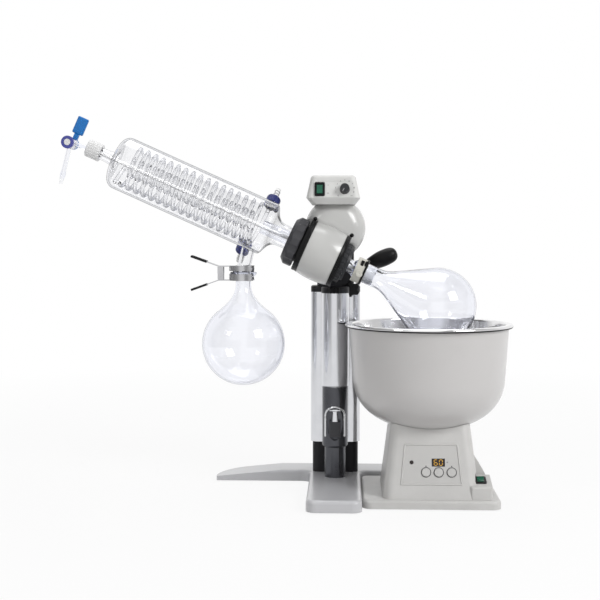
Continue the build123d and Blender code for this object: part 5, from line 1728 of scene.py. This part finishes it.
@dataclass
class LiftHandle:
    """Chrome arch round the handle's recess as a painted highlight of its lip, pad of the lever
    and ribs under the head.
    """

    half: float = 15.0
    low: float = 90.0
    spring: float = 122.0
    front: float = -56.0
    nose: float = 20.5
    tube: float = 1.9
    bend_steps: int = 14
    pad: Spot = (18.0, 25.0, 3.2)
    pad_edge: float = 1.5
    pad_y: float = -58.0
    pad_z: float = 101.5
    rib: float = 2.4
    ribs: tuple[float, ...] = (-7.5, -1.3, 4.9)
    rib_y: float = -47.6
    rib_z: Point = (320.0, 325.5)

    def arch(self) -> Piece:
        """Models the chrome arch along the rounded front, a painted highlight of the recess lip.

        Returns:
            The arch.
        """
        path = [(-self.half, self.low)]
        path += arc((0, self.spring), self.half, 180, 0, self.bend_steps)
        path += [(self.half, self.low)]
        spots = []
        for x, z in path:
            y = self.front + self.nose - math.sqrt(self.nose**2 - x**2)
            spots.append(Vector((x, y, z)) * MM)
        pairs = zip(spots, spots[1:])
        return join("recess_lip_highlight", [rod("arch", a, b, self.tube, Steps.WIRE) for a, b in pairs])

    def lever_pad(self) -> Piece:
        """Models the soft pad on the lever's grip.

        Returns:
            The pad.
        """
        place = basis((1, 0, 0), (0, 0, 1), (0, -1, 0), (0, self.pad_y, self.pad_z))
        return rounded_block("lever_pad", self.pad, place, self.pad_edge)

    def bracket_ribs(self) -> Piece:
        """Models the upright ribs on the bracket's round front.

        Returns:
            The ribs.
        """
        rib = rod("rib", *(Vector((0, self.rib_y, z)) * MM for z in self.rib_z), self.rib)
        return join("bracket_ribs", copies(rib, [shift(x, 0, 0) for x in self.ribs]))

    def build(self) -> None:
        """Models and mounts all pieces."""
        # Painted highlight: a chrome arch where the recess lip catches the light.
        present(self.arch(), CHROME, Body.LIFT, "spring_steel")
        present(self.lever_pad(), CHARCOAL, Body.LEVER, "black_plastic")
        present(self.bracket_ribs(), BLACK, Body.LIFT, "black_plastic")


@dataclass
class ForkClamp:
    """Vinyl tips on the handles and folded skirts of the jaws."""

    knee: float = -183.0
    end_x: float = -226.0
    upper_z: float = 361.3
    lower_z: float = 341.0
    rise: float = 15.4
    sheet: float = 1.6
    tip_length: float = 26.0
    tip: Spot = (17.8, 3.6, 27.0)
    tip_edge: float = 1.2
    skirt: float = 22.4
    skirt_wall: float = 1.0
    upper_skirt: Point = (354.6, 362.6)
    lower_skirt: Point = (339.6, 350.0)
    mouth: float = 15.5

    def vinyl_tip(self, name: str, side: float, start_z: float) -> Piece:
        """Models the sleeve pushed over one handle's end.

        Args:
            name: Name of the piece.
            side: One for the upper handle, minus one for the lower.
            start_z: Height at which the handle leaves its jaw.

        Returns:
            The tip.
        """
        y, z = RECEIVER_AXIS[1], start_z + side * self.sheet / 2
        end = Vector((self.end_x, y, z + side * self.rise))
        run = (end - Vector((self.knee, y, z))).normalized()
        across = Vector((0, 1, 0))
        start = end - run * self.tip_length
        place = basis(tuple(across), tuple(run.cross(across)), tuple(run), tuple(start))
        return rounded_block(name, self.tip, place, self.tip_edge)

    def folded_skirt(self, name: str, low: float, high: float) -> Piece:
        """Models the folded edge along one fork, open at the fork's mouth.

        Args:
            name: Name of the piece.
            low: Lower edge.
            high: Upper edge.

        Returns:
            The skirt.
        """
        outline = ring(self.skirt - self.skirt_wall, self.skirt, low, high)
        piece = turned(name, outline, shift(*RECEIVER_AXIS), Steps.BAND)
        return cut(piece, ((RECEIVER_AXIS[0] + self.mouth) * MM, 0, 0), (1, 0, 0), True)

    def build(self) -> None:
        """Models and mounts all pieces."""
        upper_tip = self.vinyl_tip("upper_tip", 1.0, self.upper_z)
        present(upper_tip, RUBBER, Body.CLAMP_UPPER, "black_plastic")
        lower_tip = self.vinyl_tip("lower_tip", -1.0, self.lower_z)
        present(lower_tip, RUBBER, Body.CLAMP_LOWER, "black_plastic")
        upper_skirt = self.folded_skirt("upper_skirt", *self.upper_skirt)
        present(upper_skirt, STEEL, Body.CLAMP_UPPER, "clamp_steel")
        lower_skirt = self.folded_skirt("lower_skirt", *self.lower_skirt)
        present(lower_skirt, STEEL, Body.CLAMP_LOWER, "clamp_steel")


@dataclass(frozen=True)
class SoftBox:
    """Lamp of the studio: its name, its place and side in metres, and its power in watts."""

    name: str
    spot: Spot
    side: float
    power: float


@dataclass
class Studio:
    """Pale floor, soft light and the camera."""

    eye: Spot = (17.9, -1896.4, 407.2)
    aim: Spot = (-0.0400, 1.0, -0.0539)
    lens: float = 69.71
    sensor: float = 36.0
    floor_half: float = 2.0
    floor_colour: str = "#E4E4E4"
    near_white: float = 0.89
    fade: Point = (0.5, 1.8)
    diffuse_level: float = 0.44
    mirrored: tuple[Point, ...] = (
        (0.0, 0.30), (0.18, 0.40), (0.30, 1.0), (0.58, 1.0),
        (0.66, 0.30), (0.82, 0.22), (0.93, 0.7), (1.0, 0.7),
    )
    behind: Point = (0.1, 0.5)
    target: Spot = (0.0, 0.0, 0.3)
    lamps: tuple[SoftBox, ...] = (
        SoftBox("key", (1.7, -1.5, 1.5), 1.0, 36.0),
        SoftBox("fill", (-1.6, -1.7, 1.5), 0.4, 8.0),
        SoftBox("top", (0.1, 0.4, 2.3), 1.4, 15.0),
    )

    def seen(self, tree: Tree) -> bpy.types.NodeSocket:
        """Tells rays that show the background from rays that light the object.

        Args:
            tree: Tree of a material or world.

        Returns:
            One for camera, transmission and glossy rays, otherwise zero.
        """
        ray = add_node(tree, "ShaderNodeLightPath", {}, {})
        sight = ray.outputs["Is Camera Ray"]
        for kind in ("Is Transmission Ray", "Is Glossy Ray"):
            either = {0: sight, 1: ray.outputs[kind]}
            sight = add_node(tree, "ShaderNodeMath", {"operation": "MAXIMUM"}, either).outputs[0]
        return sight

    def floor(self) -> None:
        """Lays the floor, which keeps a faint shadow near the object and is white further off."""
        deselect()
        bpy.ops.mesh.primitive_plane_add(size=2 * self.floor_half)
        floor = bpy.context.object
        floor.name = "floor"
        made = bpy.data.materials.new("floor_white")
        made.use_nodes = True
        tree = made.node_tree
        tree.nodes.remove(tree.nodes["Principled BSDF"])
        place = add_node(tree, "ShaderNodeTexCoord", {}, {})
        reach = add_node(
            tree, "ShaderNodeVectorMath", {"operation": "LENGTH"}, {0: place.outputs["Object"]}
        )
        near, far = self.fade
        white = add_node(
            tree, "ShaderNodeMapRange",
            {"From Min": near, "From Max": far, "To Min": self.near_white, "To Max": 1.0},
            {"Value": reach.outputs["Value"]},
        )
        share = add_node(
            tree, "ShaderNodeMath", {"operation": "MULTIPLY"},
            {0: self.seen(tree), 1: white.outputs["Result"]},
        )
        colour = {"Color": linear(self.floor_colour)}
        matt = add_node(tree, "ShaderNodeBsdfDiffuse", colour, {})
        plain = add_node(tree, "ShaderNodeEmission", {"Color": linear("#FFFFFF")}, {})
        mix = add_node(
            tree, "ShaderNodeMixShader", {},
            {0: share.outputs[0], 1: matt.outputs[0], 2: plain.outputs[0]},
        )
        tree.links.new(mix.outputs[0], tree.nodes["Material Output"].inputs["Surface"])
        floor.data.materials.append(made)

    def sky(self) -> None:
        """Fills the studio with white, and lets metal mirror soft boxes with dark gaps."""
        world = bpy.data.worlds.new("studio")
        bpy.context.scene.world = world
        world.use_nodes = True
        tree = world.node_tree
        place = add_node(tree, "ShaderNodeTexCoord", {}, {})
        split = add_node(
            tree, "ShaderNodeSeparateXYZ", {}, {"Vector": place.outputs["Generated"]}
        )
        across = add_node(
            tree, "ShaderNodeMapRange",
            {"From Min": -1.0, "From Max": 1.0}, {"Value": split.outputs["X"]},
        )
        boxes = add_node(tree, "ShaderNodeValToRGB", {}, {"Fac": across.outputs["Result"]})
        stops = boxes.color_ramp.elements
        while len(stops) < len(self.mirrored):
            stops.new(0.5)
        for stop, (spot, level) in zip(stops, self.mirrored):
            stop.position = spot
            stop.color = (level, level, level, 1.0)
        start, end = self.behind
        behind = add_node(
            tree, "ShaderNodeMapRange",
            {"From Min": start, "From Max": end}, {"Value": split.outputs["Y"]},
        )
        mirror = add_node(
            tree, "ShaderNodeMapRange", {"To Max": 1.0},
            {"Value": behind.outputs["Result"], "To Min": boxes.outputs["Color"]},
        )
        ray = add_node(tree, "ShaderNodeLightPath", {}, {})
        direct = add_node(
            tree, "ShaderNodeMath", {"operation": "SUBTRACT", 0: 1.0},
            {1: ray.outputs["Is Glossy Ray"]},
        )
        sight = add_node(
            tree, "ShaderNodeMapRange", {"To Max": 1.0},
            {"Value": direct.outputs[0], "To Min": mirror.outputs["Result"]},
        )
        level = add_node(
            tree, "ShaderNodeMapRange", {"To Min": self.diffuse_level},
            {"Value": self.seen(tree), "To Max": sight.outputs["Result"]},
        )
        back = tree.nodes["Background"]
        back.inputs["Color"].default_value = linear("#FFFFFF")
        tree.links.new(level.outputs["Result"], back.inputs["Strength"])

    def hang(self, box: SoftBox) -> None:
        """Hangs a soft box that faces the object.

        Args:
            box: Lamp to hang.
        """
        light = bpy.data.lights.new(box.name, "AREA")
        light.size = box.side
        light.energy = box.power
        lamp = bpy.data.objects.new(box.name, light)
        lamp.location = box.spot
        view = Vector(self.target) - Vector(box.spot)
        lamp.rotation_euler = view.to_track_quat("-Z", "Y").to_euler()
        bpy.context.scene.collection.objects.link(lamp)

    def camera(self) -> None:
        """Sets the camera where the picture was taken from."""
        lens = bpy.data.cameras.new("camera")
        lens.lens = self.lens
        lens.sensor_width = self.sensor
        camera = bpy.data.objects.new("camera", lens)
        camera.location = Vector(self.eye) * MM
        camera.rotation_euler = Vector(self.aim).to_track_quat("-Z", "Y").to_euler()
        bpy.context.scene.collection.objects.link(camera)
        bpy.context.scene.camera = camera

    def build(self) -> None:
        """Sets the stage."""
        self.floor()
        self.sky()
        for box in self.lamps:
            self.hang(box)
        self.camera()
        bpy.context.scene.view_settings.view_transform = "Standard"


def main() -> None:
    """Builds the scene."""
    logging.basicConfig(level=logging.INFO, format="%(message)s")
    dress_nodes()
    glassware = (Condenser(), Stopcock(), Flasks())
    fittings = (Bath(), ControlBox(), DriveHead(), LiftHandle(), ForkClamp())
    for part in (*glassware, *fittings, Studio()):
        part.build()


if __name__ == "__main__":
    main()
